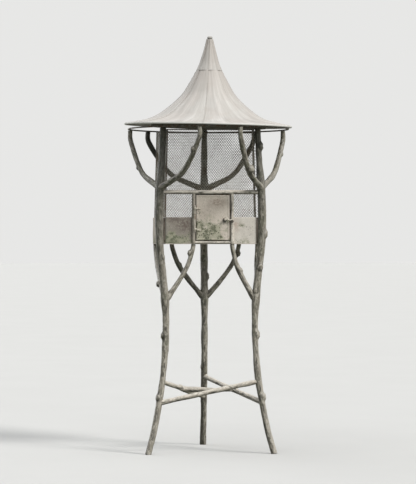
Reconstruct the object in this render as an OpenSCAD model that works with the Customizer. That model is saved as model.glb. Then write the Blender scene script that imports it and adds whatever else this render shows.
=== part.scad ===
// Garden aviary on three branch-form legs: a wire cage with a sheet-metal apron and a small
// hinged door, carried in the forks of the legs under a flared, round sheet roof.
// Origin: on the ground, at the middle of the three feet. The door faces -Y.

/* [Legs] */
// Radius of the circle that the feet stand on
foot_r = 424; // [400:1:440]
// Radius of the legs at their narrowest, below the cage
waist_r = 300; // [285:1:315]
// Height of that narrowest place
waist_z = 720; // [660:1:780]
// Radius of the legs beside the cage
cage_r = 346; // [340:1:356]
// Height at which the legs stand widest beside the cage
cage_z = 1400; // [1380:1:1440]
// Radius of the trunk tops under the roof
top_r = 318; // [312:1:324]
// Height of the ceiling board's underside, at its middle
top_z = 1900; // [1880:1:1930]
// Thickness of a foot
foot_d = 36; // [30:1:42]
// Thickness of a trunk at its narrowest radius
waist_d = 38; // [32:1:44]
// Thickness of a trunk beside the cage
cage_d = 46; // [40:1:50]
// Thickness of a trunk's top
top_d = 34; // [28:1:36]

/* [Branches] */
// Height at which the lower branches leave the trunks
low_fork_z = 895; // [840:1:950]
// Thickness of a lower branch at its fork
low_fork_d = 31; // [26:1:34]
// Thickness of a lower branch where it meets the cage floor
low_tip_d = 26; // [20:1:28]
// Height at which the upper branches leave the trunks
high_fork_z = 1545; // [1535:1:1570]
// Thickness of an upper branch at its fork
high_fork_d = 33; // [26:1:34]
// Thickness of an upper branch at the hoop
high_tip_d = 27; // [20:1:28]
// Thickness of the stretchers between the legs
stretcher_d = 29; // [22:1:32]
// Height of a stretcher's lower end
stretcher_low_z = 296; // [270:1:330]
// Height of a stretcher's upper end
stretcher_high_z = 419; // [400:1:450]
// Thickness of the twig between the two back stretchers at its left end
twig_d = 36; // [32:1:40]
// Thickness of the twig at its right end
twig_tip_d = 15; // [12:1:20]
// How far a trunk swells at a fork
swell = 4; // [2:0.5:6]
// Reach of that swelling up and down the trunk
swell_reach = 90; // [80:1:120]

/* [Roof] */
// Radius of the hoop that the upper branches carry
hoop_r = 470; // [462:1:478]
// Thickness of the hoop
hoop_d = 9; // [7:0.5:12]
// Height of the middle of the hoop
hoop_z = 1893; // [1886:1:1896]
// Radius of the eave
eave_r = 490; // [484:1:510]
// Height of the eave's lower edge, at the middle of the roof
eave_z = 1916; // [1914:1:1930]
// Depth of the turned-down rim at the eave
rim_h = 12; // [8:1:18]
// Height of the roof from its rim to the tip of the cap
roof_h = 512; // [450:1:560]
// Thickness of the roof sheet
roof_t = 2; // [1.5:0.5:3]
// Lean of the roof, which sits a little askew
roof_lean = 1.5; // [0:0.1:1.6]
// Plan direction towards which the roof leans
lean_towards = -45; // [-90:1:0]
// Radius of the ceiling board that carries the roof
board_r = 338; // [336:1:346]
// Thickness of the ceiling board
board_t = 14; // [10:1:18]
// Wall of the roof ring that stands on the ceiling board
ring_t = 8; // [5:1:12]
// Width of the cap on the tip of the roof
cap_d = 32; // [32:1:40]

/* [Cage] */
// Height of the cage floor's underside
floor_z = 1218; // [1200:1:1225]
// Thickness of the floor plate
floor_t = 4; // [2:1:5]
// Height of the sheet apron's top edge
apron_z = 1374; // [1360:1:1380]
// Thickness of the apron sheet
apron_t = 2; // [1:0.5:3]
// Depth of the apron's folded top edge
apron_fold = 16; // [14:1:18]
// Half the width of the cage front at the apron
front_half_w = 266; // [258:1:268]
// Half the width of the cage back at the apron
back_half_w = 303; // [290:1:312]
// How far each upright edge of the cage leans in from the apron to its top
cage_lean = 13; // [12:1:20]
// Room between the cage and the trunks beside it
post_gap = 10; // [8:0.5:12]
// Distance of the back wire wall behind the middle of the legs
back_y = 291; // [270:1:292]
// Height of the top of the wire walls
cage_top_z = 1884; // [1870:1:1886]
// Thickness of the cage rods
rod_d = 6; // [4:0.5:7]
// Width of the flat frame that joins the rods at the top
frame_w = 9; // [8:0.5:11]
// Thickness of the wire sheet
wire_t = 3; // [2:0.5:4]
// Width of one wire in its sheet
wire_w = 3; // [2:0.5:4]
// Width of one diamond of the wire
cell_w = 76; // [70:1:90]
// Height of one diamond of the wire
cell_h = 96; // [85:1:110]
// Height of the middle of the front rail
rail_z = 1520; // [1516:1:1526]
// Thickness of the front rail
rail_d = 24; // [20:1:26]

/* [Door] */
// Width of the door leaf
door_w = 193; // [170:1:200]
// Height of the door leaf
door_h = 262; // [250:1:264]
// Thickness of the door leaf
door_t = 2; // [1.5:0.5:3]
// Width of the raised hem round the door leaf
hem_w = 9; // [6:1:14]
// Plan place of the door's middle along the front
door_x = 12.5; // [-10:0.5:20]
// Thickness of the door jambs
jamb_d = 20; // [16:1:22]
// Gap round the door leaf
door_gap = 6; // [5:0.5:8]
// Height of the door sill above the floor plate
sill_h = 12; // [8:1:13]
// Thickness of the hinge rod
hinge_rod_d = 6; // [5:0.5:7]
// Outside of a hinge eye
hinge_eye_d = 12; // [11:0.5:13]
// Height of a hinge eye
hinge_eye_h = 10; // [8:1:14]
// Distance between the two hinge eyes
hinge_span = 120; // [90:1:140]
// Height of the lower hinge eye above the bottom of the door
hinge_low = 66; // [50:1:80]
// Width of the latch knob
knob_d = 14; // [10:1:18]
// Height of the latch above the bottom of the door
latch_z = 118; // [100:1:150]

/* [Hidden] */

$fn = 48;
// Room between pieces that seat on each other
seat = 0.3;
// How far a cut runs past the face it opens
overrun = 20;
// How far a cut runs up and down a trunk from what meets it
cut_reach = 200;
// Sides of the branch-form limbs
limb_sides = 12;
// Sides of a knot on a limb
knot_sides = 9;
// Steps of the smooth curve between two of its points
curve_steps = 3;

// Plan directions of the three legs, and their places in the tables
leg_angles = [210, 330, 90];
LEFT = 0;
RIGHT = 1;
BACK = 2;

// Bends of a leg as shares of its three stretches: along the height, along the change of radius
foot_bend_shares = [[0, 0], [0.19, 0.34], [0.45, 0.67], [0.71, 0.895]];
waist_bend_shares = [[0, 0], [0.26, 0.13], [0.5, 0.5], [0.735, 0.913]];
cage_bend_shares = [[0, 0], [0.28, 0.18], [0.6, 0.643], [1, 1]];

// Knots of the trunks: share of the trunk's height, plan direction, share of the trunk's thickness
knot_shares = [
  [[0.36, 180, 0.5], [0.172, 200, 0.5]],
  [[0.945, 350, 0.72], [0.676, 0, 0.6], [0.574, 300, 0.65], [0.366, 0, 0.5], [0.172, 340, 0.5]],
  [[0.536, 350, 0.75]]
];
// How far a knot's middle lies from the trunk's middle, as a share of the trunk's radius
knot_out_share = 0.85;

// Course of a lower branch from its fork to its tip: share of its run, share of its rise
low_course_shares = [[0, 0], [0.13, 0.07], [0.52, 0.36], [0.8, 0.62], [0.96, 0.88], [1, 1]];
// Course of an upper branch from its fork to its tip: share of its run, share of its rise
high_course_shares = [[0, 0], [0.29, 0.11], [0.575, 0.25], [0.77, 0.47], [0.92, 0.7], [1, 0.86], [1, 1]];
// Plan turn of each leg's two upper branches from the leg to their places on the hoop
high_angles = [[49.5, -45], [45, -41.5], [46, -40]];
// Knots of each leg's two branches: share of the rise, turn from the branch, share of its thickness
low_knot_shares = [
  [[[0.84, 180, 1.1]], [[0.27, 85, 1.1]]],
  [[[0.4, 0, 0.75]], [[0.52, 180, 0.75]]],
  [[[0.6, 180, 0.75]], [[0.75, 0, 0.95]]]
];
high_knot_shares = [
  [[[0.63, 0, 0.75]], [[0.37, 0, 0.8]]],
  [[[0.6, 0, 0.75]], [[0.3, 180, 0.95]]],
  [[[0.45, 0, 0.75]], [[0.5, 0, 0.75]]]
];

// Roof outline from rim to tip: share of the eave radius, share of the roof's height
roof_shares = [
  [1, 0], [0.751, 0.029], [0.608, 0.086], [0.498, 0.164], [0.402, 0.246], [0.318, 0.335],
  [0.249, 0.439], [0.182, 0.55], [0.137, 0.632], [0.098, 0.715], [0.055, 0.854], [0.027, 0.962]
];
// First row of the outline that belongs to the collar
collar_row = 8;
// Profile of the cap: share of its half width, share of its height
cap_shares = [[0, 0], [0.96, 0], [1, 0.3], [0.92, 0.62], [0.6, 0.88], [0, 1]];

function mix(a, b, t) = a + (b - a) * t;
function unit(v) = v / norm(v);
function plan(r, a) = [r * cos(a), r * sin(a)];

// Point at share t of the smooth curve between p1 and p2
function curve_point(p0, p1, p2, p3, t) =
  (2 * p1 + (p2 - p0) * t + (2 * p0 - 5 * p1 + 4 * p2 - p3) * t ^ 2 + (3 * p1 - p0 - 3 * p2 + p3) * t ^ 3) / 2;

// Smooth curve through all rows of a table
function smooth(rows) =
  let (last = len(rows) - 1)
  concat(
    [for (i = [0:last - 1], k = [0:curve_steps - 1])
      curve_point(rows[max(i - 1, 0)], rows[i], rows[i + 1], rows[min(i + 2, last)], k / curve_steps)],
    [rows[last]]
  );

// Height of the leaning board's underside over a plan place
function board_under(p) =
  top_z - tan(roof_lean) * (p.x * cos(lean_towards) + p.y * sin(lean_towards));

// Height of a trunk's flat top, under the lowest edge of the board above it
function trunk_top(i) =
  board_under(plan(top_r, leg_angles[i])) - tan(roof_lean) * top_d / 2 - seat;

// Radius of the legs beside the cage, which they clear
beside_r = max(cage_r, (front_half_w + post_gap + cage_d / 2) / cos(leg_angles[RIGHT]));

// Middle line of a trunk: radius, height, thickness
function trunk_line(i) = smooth(concat(
  [for (s = foot_bend_shares)
    [mix(foot_r, waist_r, s[1]), waist_z * s[0], mix(foot_d, waist_d, s[0])]],
  [for (s = waist_bend_shares)
    [mix(waist_r, beside_r, s[1]), mix(waist_z, cage_z, s[0]), mix(waist_d, cage_d, s[0])]],
  [for (s = cage_bend_shares)
    [mix(beside_r, top_r, s[1]), mix(cage_z, trunk_top(i), s[0]), mix(cage_d, top_d, s[0])]]
));

// Radius and thickness of a trunk at a height
function reach_at(line, z) = lookup(z, [for (row = line) [row[1], row[0]]]);
function width_at(line, z) = lookup(z, [for (row = line) [row[1], row[2]]]);
function trunk_at(i, z) = plan(reach_at(trunk_line(i), z), leg_angles[i]);

// Direction of a curve at one of its points
function heading(line, i) =
  let (a = line[max(i - 1, 0)], b = line[min(i + 1, len(line) - 1)])
  unit([b[0] - a[0], b[1] - a[1]]);

// Round limb along a line of (run, height, thickness) in the XZ plane, with level ends where asked
module limb(line, level_start, level_end, grow = 0) {
  last = len(line) - 1;
  rings = [
    for (i = [0:last])
      let (
        level = (i == 0 && level_start) || (i == last && level_end),
        t = level ? [0, 1] : heading(line, i),
        r = line[i][2] / 2 + grow
      )
      for (j = [0:limb_sides - 1])
        let (c = r * cos(360 * j / limb_sides), s = r * sin(360 * j / limb_sides))
        [line[i][0] - t[1] * c, s, line[i][1] + t[0] * c]
  ];
  walls = [
    for (i = [0:last - 1], j = [0:limb_sides - 1])
      let (
        a = i * limb_sides + j,
        b = i * limb_sides + (j + 1) % limb_sides
      )
      each [[a, b, b + limb_sides], [a, b + limb_sides, a + limb_sides]]
  ];
  start_cap = [for (j = [limb_sides - 1:-1:0]) j];
  end_cap = [for (j = [0:limb_sides - 1]) last * limb_sides + j];
  polyhedron(points = rings, faces = concat(walls, [start_cap, end_cap]));
}

// Limb between two places, along course shares of its run and rise, with its knots
module course_limb(from, to, shares, from_d, to_d, level_end, knots = []) {
  way = [to.x - from.x, to.y - from.y];
  line = smooth([for (s = shares) [norm(way) * s[0], mix(from.z, to.z, s[1]), mix(from_d, to_d, s[1])]]);
  translate([from.x, from.y, 0]) rotate([0, 0, atan2(way.y, way.x)]) {
    limb(line, false, level_end);
    for (k = knots) {
      z = mix(from.z, to.z, k[0]);
      d = width_at(line, z);
      out = plan(d / 2 * knot_out_share, k[1]);
      translate([reach_at(line, z) + out.x, out.y, z]) sphere(d = d * k[2], $fn = knot_sides);
    }
  }
}

// Stretch of a trunk near a height, grown by the seat, that cuts what meets the trunk there
module trunk_cut(i, z) {
  near = [for (row = trunk_line(i)) if (abs(row[1] - z) < cut_reach) row];
  rotate([0, 0, leg_angles[i]]) limb(near, false, false, seat);
}

// Swelling round a trunk at a fork, fullest at the fork's height
module fork_swell(i, z, grow = 0) {
  near = [
    for (row = trunk_line(i))
      if (abs(row[1] - z) < swell_reach)
        [row[0], row[1], row[2] + 2 * swell * (1 - ((row[1] - z) / swell_reach) ^ 2)]
  ];
  rotate([0, 0, leg_angles[i]]) limb(near, false, false, 3 * seat + grow);
}

module trunk(i) {
  color("#a39a8c") union() {
    rotate([0, 0, leg_angles[i]]) limb(trunk_line(i), true, true);
    for (k = knot_shares[i]) {
      z = k[0] * top_z;
      d = width_at(trunk_line(i), z);
      at = trunk_at(i, z) + plan(d / 2 * knot_out_share, k[1]);
      translate([at.x, at.y, z]) sphere(d = d * k[2], $fn = knot_sides);
    }
  }
}

module left_trunk() trunk(LEFT);
module right_trunk() trunk(RIGHT);
module back_trunk() trunk(BACK);

// Places where the two lower branches of each leg meet the floor plate
front_y = trunk_at(LEFT, apron_z).y;
jamb_left_x = door_x - door_w / 2 - door_gap - jamb_d / 2;
jamb_right_x = door_x + door_w / 2 + door_gap + jamb_d / 2;
// Shares of the cage's depth at which the left and right legs' side branches meet the floor
side_tip_shares = [0.93, 0.34];
// Share of the cage's half width at which the back branches meet the floor
back_tip_share = 0.62;
side_start_y = trunk_at(LEFT, apron_z).y + cage_d / 2 + door_gap;
side_start_x = -trunk_at(LEFT, apron_z).x - apron_t;
// The back wall stands in front of the back trunk's top
wall_back_y = min(back_y, top_r - top_d / 2 - post_gap);
back_out_y = wall_back_y + apron_fold - wire_t;
back_out_x = back_half_w + apron_fold / 2;
function side_out_x(y) = mix(side_start_x, back_out_x, (y - side_start_y) / (back_out_y - side_start_y));
function side_tip_y(i) = mix(side_start_y, back_out_y, side_tip_shares[i]);
function side_tip_x(i) = side_out_x(side_tip_y(i)) - low_tip_d / 2;
back_tip_x = back_half_w * back_tip_share;
back_tip_y = back_out_y - low_tip_d / 2;
low_tips = [
  [[jamb_left_x, front_y + low_tip_d / 2], [-side_tip_x(LEFT), side_tip_y(LEFT)]],
  [[side_tip_x(RIGHT), side_tip_y(RIGHT)], [jamb_right_x, front_y + low_tip_d / 2]],
  [[-back_tip_x, back_tip_y], [back_tip_x, back_tip_y]]
];

module low_branches(i) {
  fork = trunk_at(i, low_fork_z);
  color("#9d9485") difference() {
    union() {
      fork_swell(i, low_fork_z);
      for (k = [0:len(low_tips[i]) - 1]) {
        tip = low_tips[i][k];
        course_limb([fork.x, fork.y, low_fork_z], [tip.x, tip.y, floor_z - seat], low_course_shares,
          low_fork_d, low_tip_d, true, low_knot_shares[i][k]);
      }
    }
    trunk_cut(i, low_fork_z);
  }
}

module left_low_branches() low_branches(LEFT);
module right_low_branches() low_branches(RIGHT);
module back_low_branches() low_branches(BACK);

module high_branches(i) {
  fork = trunk_at(i, high_fork_z);
  color("#9d9485") difference() {
    union() {
      fork_swell(i, high_fork_z);
      for (k = [0:len(high_angles[i]) - 1]) {
        tip = plan(hoop_r, leg_angles[i] + high_angles[i][k]);
        course_limb([fork.x, fork.y, high_fork_z], [tip.x, tip.y, hoop_z - hoop_d / 2 - seat],
          high_course_shares, high_fork_d, high_tip_d, true, high_knot_shares[i][k]);
      }
    }
    trunk_cut(i, high_fork_z);
  }
}

module left_high_branches() high_branches(LEFT);
module right_high_branches() high_branches(RIGHT);
module back_high_branches() high_branches(BACK);

// Straight stretch between two places, a little thicker at its start
stretch_shares = [[0, 0], [0.5, 0.5], [1, 1]];
stretch_taper_share = 0.97;

module stretch(from, to, d) {
  course_limb(from, to, stretch_shares, d, d * stretch_taper_share, false);
}

function leg_point(i, z) = let (p = trunk_at(i, z)) [p.x, p.y, z];

module stretcher(low_leg, high_leg) {
  color("#a0978a") difference() {
    stretch(leg_point(low_leg, stretcher_low_z), leg_point(high_leg, stretcher_high_z), stretcher_d);
    trunk_cut(low_leg, stretcher_low_z);
    trunk_cut(high_leg, stretcher_high_z);
  }
}

module front_stretcher() stretcher(LEFT, RIGHT);
module right_stretcher() stretcher(RIGHT, BACK);
module left_stretcher() stretcher(BACK, LEFT);

// Shares of the two back stretchers at which the twig joins them
twig_left_share = 0.51;
twig_right_share = 0.455;
twig_left = mix(leg_point(BACK, stretcher_low_z), leg_point(LEFT, stretcher_high_z), twig_left_share);
twig_right = mix(leg_point(RIGHT, stretcher_low_z), leg_point(BACK, stretcher_high_z), twig_right_share);

// A limb thick enough to cut a twig's end to the limb's side
module stretcher_cut(low_leg, high_leg) {
  stretch(leg_point(low_leg, stretcher_low_z), leg_point(high_leg, stretcher_high_z), stretcher_d + 2 * seat);
}

module stretcher_twig() {
  color("#978d7e") difference() {
    course_limb(twig_left, twig_right, stretch_shares, twig_d, twig_tip_d, false);
    stretcher_cut(BACK, LEFT);
    stretcher_cut(RIGHT, BACK);
  }
}

module hoop() {
  color("#6b6458") translate([0, 0, hoop_z]) rotate_extrude() translate([hoop_r, 0]) circle(d = hoop_d);
}

// Sets the roof's pieces askew about the middle of the ceiling board's underside
module askew() {
  translate([0, 0, top_z])
    rotate(a = roof_lean, v = [-sin(lean_towards), cos(lean_towards), 0])
      translate([0, 0, -top_z]) children();
}

// Roof outline as radius and height, and the same line moved square to itself
rim_z = eave_z + rim_h;
roof_line = smooth([for (s = roof_shares) [eave_r * s[0], rim_z + roof_h * s[1]]]);
function roof_off(i, d) = roof_line[i] - d * [heading(roof_line, i).y, -heading(roof_line, i).x];
seam_point = collar_row * curve_steps;
roof_end = len(roof_line) - 1;
// Points of the outline by which the collar laps over the skirt
lap_points = 1;

// Height of the roof's underside at a radius
function roof_under(r) = lookup(-r, [for (i = [0:roof_end]) let (p = roof_off(i, roof_t)) [-p.x, p.y]]);

module ceiling_board() {
  color("#4a453d") askew() translate([0, 0, top_z]) cylinder(r = board_r, h = board_t);
}

module roof_ring() {
  out_r = board_r - ring_t;
  color("#5a544a") askew() rotate_extrude() polygon([
    [out_r - ring_t, top_z + board_t],
    [out_r, top_z + board_t],
    [out_r, roof_under(out_r) - seat],
    [out_r - ring_t, roof_under(out_r - ring_t) - seat]
  ]);
}

module roof_skirt() {
  outer = [for (i = [0:seam_point]) roof_line[i]];
  inner = [for (i = [seam_point:-1:1]) roof_off(i, roof_t)];
  rim = [[eave_r - roof_t, rim_z - roof_t], [eave_r - roof_t, eave_z], [eave_r, eave_z]];
  color("#c9c3b8") askew() rotate_extrude() polygon(concat(outer, inner, rim));
}

module roof_collar() {
  outer = [for (i = [seam_point - lap_points:roof_end]) roof_off(i, -roof_t - seat)];
  inner = [for (i = [roof_end:-1:seam_point - lap_points]) roof_off(i, -seat)];
  color("#c4beb2") askew() rotate_extrude() polygon(concat(outer, inner));
}

module roof_cap() {
  base = max(roof_off(roof_end, -roof_t - seat).y, roof_off(roof_end, -seat).y) + seat;
  cap_h = rim_z + roof_h - base;
  color("#b8b1a5") askew() translate([0, 0, base]) rotate_extrude()
    polygon([for (s = cap_shares) [cap_d / 2 * s[0], cap_h * s[1]]]);
}

// Outline of the floor plate, notched round the two front trunks
apron_front_y = front_y;
floor_outline = [
  [-front_half_w, apron_front_y], [front_half_w, apron_front_y], [front_half_w, side_start_y],
  [side_start_x, side_start_y], [back_out_x, back_out_y], [-back_out_x, back_out_y],
  [-side_start_x, side_start_y], [-front_half_w, side_start_y]
];
apron_base_z = floor_z + floor_t;

module cage_floor() {
  color("#8d8578") translate([0, 0, floor_z]) linear_extrude(floor_t) polygon(floor_outline);
}

// Upright sheet of a given length along X with a fold to the back at its top edge
module apron(length) {
  h = apron_z - apron_base_z;
  cube([length, apron_t, h]);
  translate([0, 0, h - apron_t]) cube([length, apron_fold, apron_t]);
}

module front_left_apron() {
  color("#b1a79a") translate([-front_half_w, apron_front_y, apron_base_z])
    apron(jamb_left_x - jamb_d / 2 - seat + front_half_w);
}

module front_right_apron() {
  start = jamb_right_x + jamb_d / 2 + seat;
  color("#b9b0a4") translate([start, apron_front_y, apron_base_z]) apron(front_half_w - start);
}

side_way = [back_out_x - side_start_x, back_out_y - side_start_y];

module side_apron() {
  translate([side_start_x, side_start_y, apron_base_z])
    rotate([0, 0, atan2(side_way.y, side_way.x)])
      apron(norm(side_way) - apron_t - seat);
}

module right_apron() {
  color("#a79d90") side_apron();
}

module left_apron() {
  color("#a79d90") mirror([1, 0, 0]) side_apron();
}

module back_apron() {
  half = back_out_x - apron_fold - 2 * apron_t;
  color("#a79d90") translate([half, back_out_y, apron_base_z]) rotate([0, 0, 180]) apron(2 * half);
}

// How far the cage's upright edges lean in, so that its top clears the trunks' tops
top_inside_x = top_r * cos(leg_angles[RIGHT]) - top_d / 2;
lean_in = max(cage_lean, front_half_w + post_gap / 2 - top_inside_x);
// Upright edges of the cage: their foot and head, for the right-hand side
wire_base_z = apron_z + seat;
wire_y = apron_front_y + rail_d / 2 + seat;
front_foot = [front_half_w - rod_d / 2, wire_y + rod_d / 2, wire_base_z];
front_head = front_foot + [-lean_in, 0, cage_top_z - wire_base_z];
back_foot = [back_half_w - rod_d / 2, wall_back_y - rod_d / 2, wire_base_z];
back_head = back_foot + [-lean_in, 0, cage_top_z - wire_base_z];

function to_left(p) = [-p.x, p.y, p.z];

module rod(from, to) {
  way = to - from;
  turn = atan2(way.y, way.x);
  lift = acos(way.z / norm(way));
  translate(from) rotate([0, lift, turn]) cylinder(d = rod_d, h = norm(way), $fn = 24);
}

module cage_rods() {
  rim = frame_w / 2;
  outer = [
    [-front_head.x - rim, front_head.y - rim], [front_head.x + rim, front_head.y - rim],
    [back_head.x + rim, back_head.y + rim], [-back_head.x - rim, back_head.y + rim]
  ];
  inner = [
    [-front_head.x + rim, front_head.y + rim], [front_head.x - rim, front_head.y + rim],
    [back_head.x - rim, back_head.y - rim], [-back_head.x + rim, back_head.y - rim]
  ];
  color("#4f4a41") union() {
    rod(front_foot, front_head);
    rod(back_foot, back_head);
    rod(to_left(front_foot), to_left(front_head));
    rod(to_left(back_foot), to_left(back_head));
    translate([0, 0, cage_top_z - rod_d / 2]) linear_extrude(rod_d) difference() {
      polygon(outer);
      polygon(inner);
    }
  }
}

// Diamonds of a wire sheet, counted in half cells: the corners that lie on the sheet
function diamond(i, j, across, up) = [
  for (c = [[i - 1, j], [i, j - 1], [i + 1, j], [i, j + 1]])
    if (c.x >= 0 && c.x <= across && c.y >= 0 && c.y <= up) c
];

function ones(list) = [for (item = list) 1];
function middle(points) = ones(points) * points / len(points);
function around(points) = [for (i = [0:len(points) - 1]) points[(i + 1) % len(points)]];
function girth(points) = let (next = around(points))
  ones(points) * [for (i = [0:len(points) - 1]) norm(next[i] - points[i])];
function area(points) = let (next = around(points))
  abs(ones(points) * [for (i = [0:len(points) - 1]) cross(points[i], next[i])]) / 2;

// A hole drawn in from its corners so that half a wire is left along its sides
function drawn_in(points) =
  let (keep = 1 - wire_w / 2 / (2 * area(points) / girth(points)), m = middle(points))
  [for (p = points) m + (p - m) * keep];

// Diamond wire in an upright outline given by its foot and head edges: [left, right] each
module wire_sheet(foot, head, h) {
  across = 2 * round((foot[1] - foot[0]) / cell_w);
  up = 2 * round(h / cell_h);
  outline = [[foot[0], 0], [foot[1], 0], [head[1], h], [head[0], h]];
  holes = [
    for (i = [0:across], j = [0:up])
      if ((i + j) % 2 == 1)
        drawn_in([
          for (c = diamond(i, j, across, up))
            let (u = c.x / across, v = c.y / up)
            [mix(mix(foot[0], foot[1], u), mix(head[0], head[1], u), v), h * v]
        ])
  ];
  loops = concat([outline], holes);
  starts = [for (k = 0, n = 0; k < len(loops); n = n + len(loops[k]), k = k + 1) n];
  rotate([90, 0, 0]) linear_extrude(wire_t, center = true)
    polygon(
      points = [for (loop = loops) each loop],
      paths = [for (k = [0:len(loops) - 1]) [for (m = [0:len(loops[k]) - 1]) starts[k] + m]]
    );
}

// Half widths of the front wire at a height above the apron
function front_half_at(z) =
  front_half_w - rod_d - seat - lean_in * (z - wire_base_z) / (cage_top_z - wire_base_z);
wire_top_z = cage_top_z - rod_d / 2 - seat;
wire_mid_y = wire_y + wire_t / 2;

module front_wire() {
  base = rail_z;
  color("#6f695e") translate([0, wire_mid_y, base])
    wire_sheet([-front_half_at(base), front_half_at(base)],
      [-front_half_at(wire_top_z), front_half_at(wire_top_z)], wire_top_z - base);
}

module window_wire(inner_x) {
  h = rail_z - seat - wire_base_z;
  translate([0, wire_mid_y, wire_base_z])
    wire_sheet([inner_x, front_half_at(wire_base_z)], [inner_x, front_half_at(rail_z)], h);
}

module right_window_wire() {
  color("#6f695e") window_wire(jamb_right_x);
}

module left_window_wire() {
  color("#6f695e") mirror([1, 0, 0]) window_wire(-jamb_left_x);
}

module side_wire() {
  way = back_foot - front_foot;
  along = unit([way.x, way.y]);
  half = norm([way.x, way.y]) / 2 - rod_d / 2 - seat;
  mid = (front_foot + back_foot) / 2;
  h = wire_top_z - wire_base_z;
  // Part of the rods' lean that runs along the wall
  slip = -lean_in * along.x * h / (cage_top_z - wire_base_z);
  translate(mid) rotate([0, 0, atan2(way.y, way.x)])
    rotate([-atan2(lean_in * along.y, cage_top_z - wire_base_z), 0, 0])
      wire_sheet([-half, half], [slip - half, slip + half], h);
}

module right_wire() {
  color("#6f695e") side_wire();
}

module left_wire() {
  color("#6f695e") mirror([1, 0, 0]) side_wire();
}

module back_wire() {
  foot = back_half_w - rod_d - seat;
  head = foot - lean_in * (wire_top_z - wire_base_z) / (cage_top_z - wire_base_z);
  color("#6f695e") translate([0, back_foot.y, wire_base_z])
    wire_sheet([-foot, foot], [-head, head], wire_top_z - wire_base_z);
}

module front_rail() {
  from = leg_point(LEFT, rail_z);
  to = leg_point(RIGHT, rail_z);
  color("#aaa194") difference() {
    translate([from.x, apron_front_y, rail_z]) rotate([0, 90, 0]) cylinder(d = rail_d, h = to.x - from.x);
    for (i = [LEFT, RIGHT]) {
      trunk_cut(i, rail_z);
      fork_swell(i, high_fork_z, seat);
    }
  }
}

module jamb(x) {
  translate([x, apron_front_y, apron_base_z])
    cylinder(d = jamb_d, h = rail_z - apron_base_z);
}

module rail_cut() {
  translate([-front_half_w, apron_front_y, rail_z]) rotate([0, 90, 0])
    cylinder(d = rail_d + 2 * seat, h = 2 * front_half_w);
}

module left_jamb() {
  color("#aaa194") difference() {
    jamb(jamb_left_x);
    rail_cut();
  }
}

module right_jamb() {
  color("#aaa194") difference() {
    jamb(jamb_right_x);
    rail_cut();
  }
}

module door_sill() {
  color("#b9b1a5") difference() {
    translate([jamb_left_x, apron_front_y - sill_h / 2, apron_base_z])
      cube([jamb_right_x - jamb_left_x, sill_h, sill_h]);
    for (x = [jamb_left_x, jamb_right_x])
      translate([x, apron_front_y, apron_base_z - overrun])
        cylinder(d = jamb_d + 2 * seat, h = sill_h + 2 * overrun);
  }
}

// The leaf hangs between the jambs, with its face at their middle
door_base_z = apron_base_z + sill_h + door_gap;
door_left_x = door_x - door_w / 2;
hinge_x = door_left_x - door_gap / 2 - hinge_rod_d;
hinge_y = apron_front_y - jamb_d / 2 - hinge_eye_d / 2 - door_t;
hinge_zs = [door_base_z + hinge_low, door_base_z + hinge_low + hinge_span];
// Play of a hinge eye on its rod
hinge_play = 0.1;

module hinge_rod() {
  lug = hinge_eye_h;
  color("#7d766a") {
    translate([hinge_x, hinge_y, hinge_zs[0] - hinge_eye_h - lug])
      cylinder(d = hinge_rod_d, h = hinge_span + 2 * hinge_eye_h + 2 * lug);
    difference() {
      for (z = [hinge_zs[0] - hinge_eye_h - lug, hinge_zs[1] + hinge_eye_h])
        translate([hinge_x - hinge_rod_d / 2, hinge_y, z])
          cube([hinge_rod_d, apron_front_y - hinge_y, lug]);
      translate([jamb_left_x, apron_front_y, hinge_zs[0] - hinge_span])
        cylinder(d = jamb_d + 2 * seat, h = 3 * hinge_span);
    }
  }
}

module door_leaf() {
  color("#b3aa9d") translate([door_left_x, apron_front_y - door_t, door_base_z]) {
    cube([door_w, door_t, door_h]);
    difference() {
      translate([0, -door_t, 0]) cube([door_w, door_t, door_h]);
      translate([hem_w, -door_t - overrun, hem_w])
        cube([door_w - 2 * hem_w, door_t + overrun, door_h - 2 * hem_w]);
    }
  }
}

// Length of a hinge strap on the leaf
strap_l = 24;

module door_hinge_eyes() {
  face_y = apron_front_y - door_t;
  color("#7d766a") difference() {
    for (z = hinge_zs) {
      translate([hinge_x, hinge_y, z - hinge_eye_h / 2]) cylinder(d = hinge_eye_d, h = hinge_eye_h);
      translate([hinge_x, hinge_y - hinge_eye_d / 2, z - hinge_eye_h / 2])
        cube([strap_l, door_t, hinge_eye_h]);
      translate([hinge_x + strap_l - door_t, hinge_y - hinge_eye_d / 2, z - hinge_eye_h / 2])
        cube([door_t, face_y - hinge_y + hinge_eye_d / 2, hinge_eye_h]);
    }
    translate([hinge_x, hinge_y, hinge_zs[0] - hinge_span])
      cylinder(d = hinge_rod_d + 2 * hinge_play, h = 3 * hinge_span);
  }
}

// Latch: a knob on the leaf with a tongue that reaches past the jamb over a keeper pin
knob_x = door_left_x + door_w - 2 * hem_w - knob_d / 2;
tongue_d = 5;
tongue_y = apron_front_y - jamb_d / 2 - door_gap - tongue_d / 2;
knob_shares = [[0, 0], [0.45, 0], [0.4, 0.45], [0.75, 0.6], [1, 0.78], [0.8, 0.95], [0, 1]];

module door_latch() {
  z = door_base_z + latch_z;
  knob_l = apron_front_y - door_t - tongue_y + tongue_d;
  color("#6a6459") {
    translate([knob_x, apron_front_y - door_t, z]) rotate([90, 0, 0]) rotate_extrude()
      polygon([for (s = knob_shares) [knob_d / 2 * s[0], knob_l * s[1]]]);
    translate([knob_x, tongue_y, z]) rotate([0, 90, 0])
      cylinder(d = tongue_d, h = jamb_right_x - knob_x);
  }
}

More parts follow.
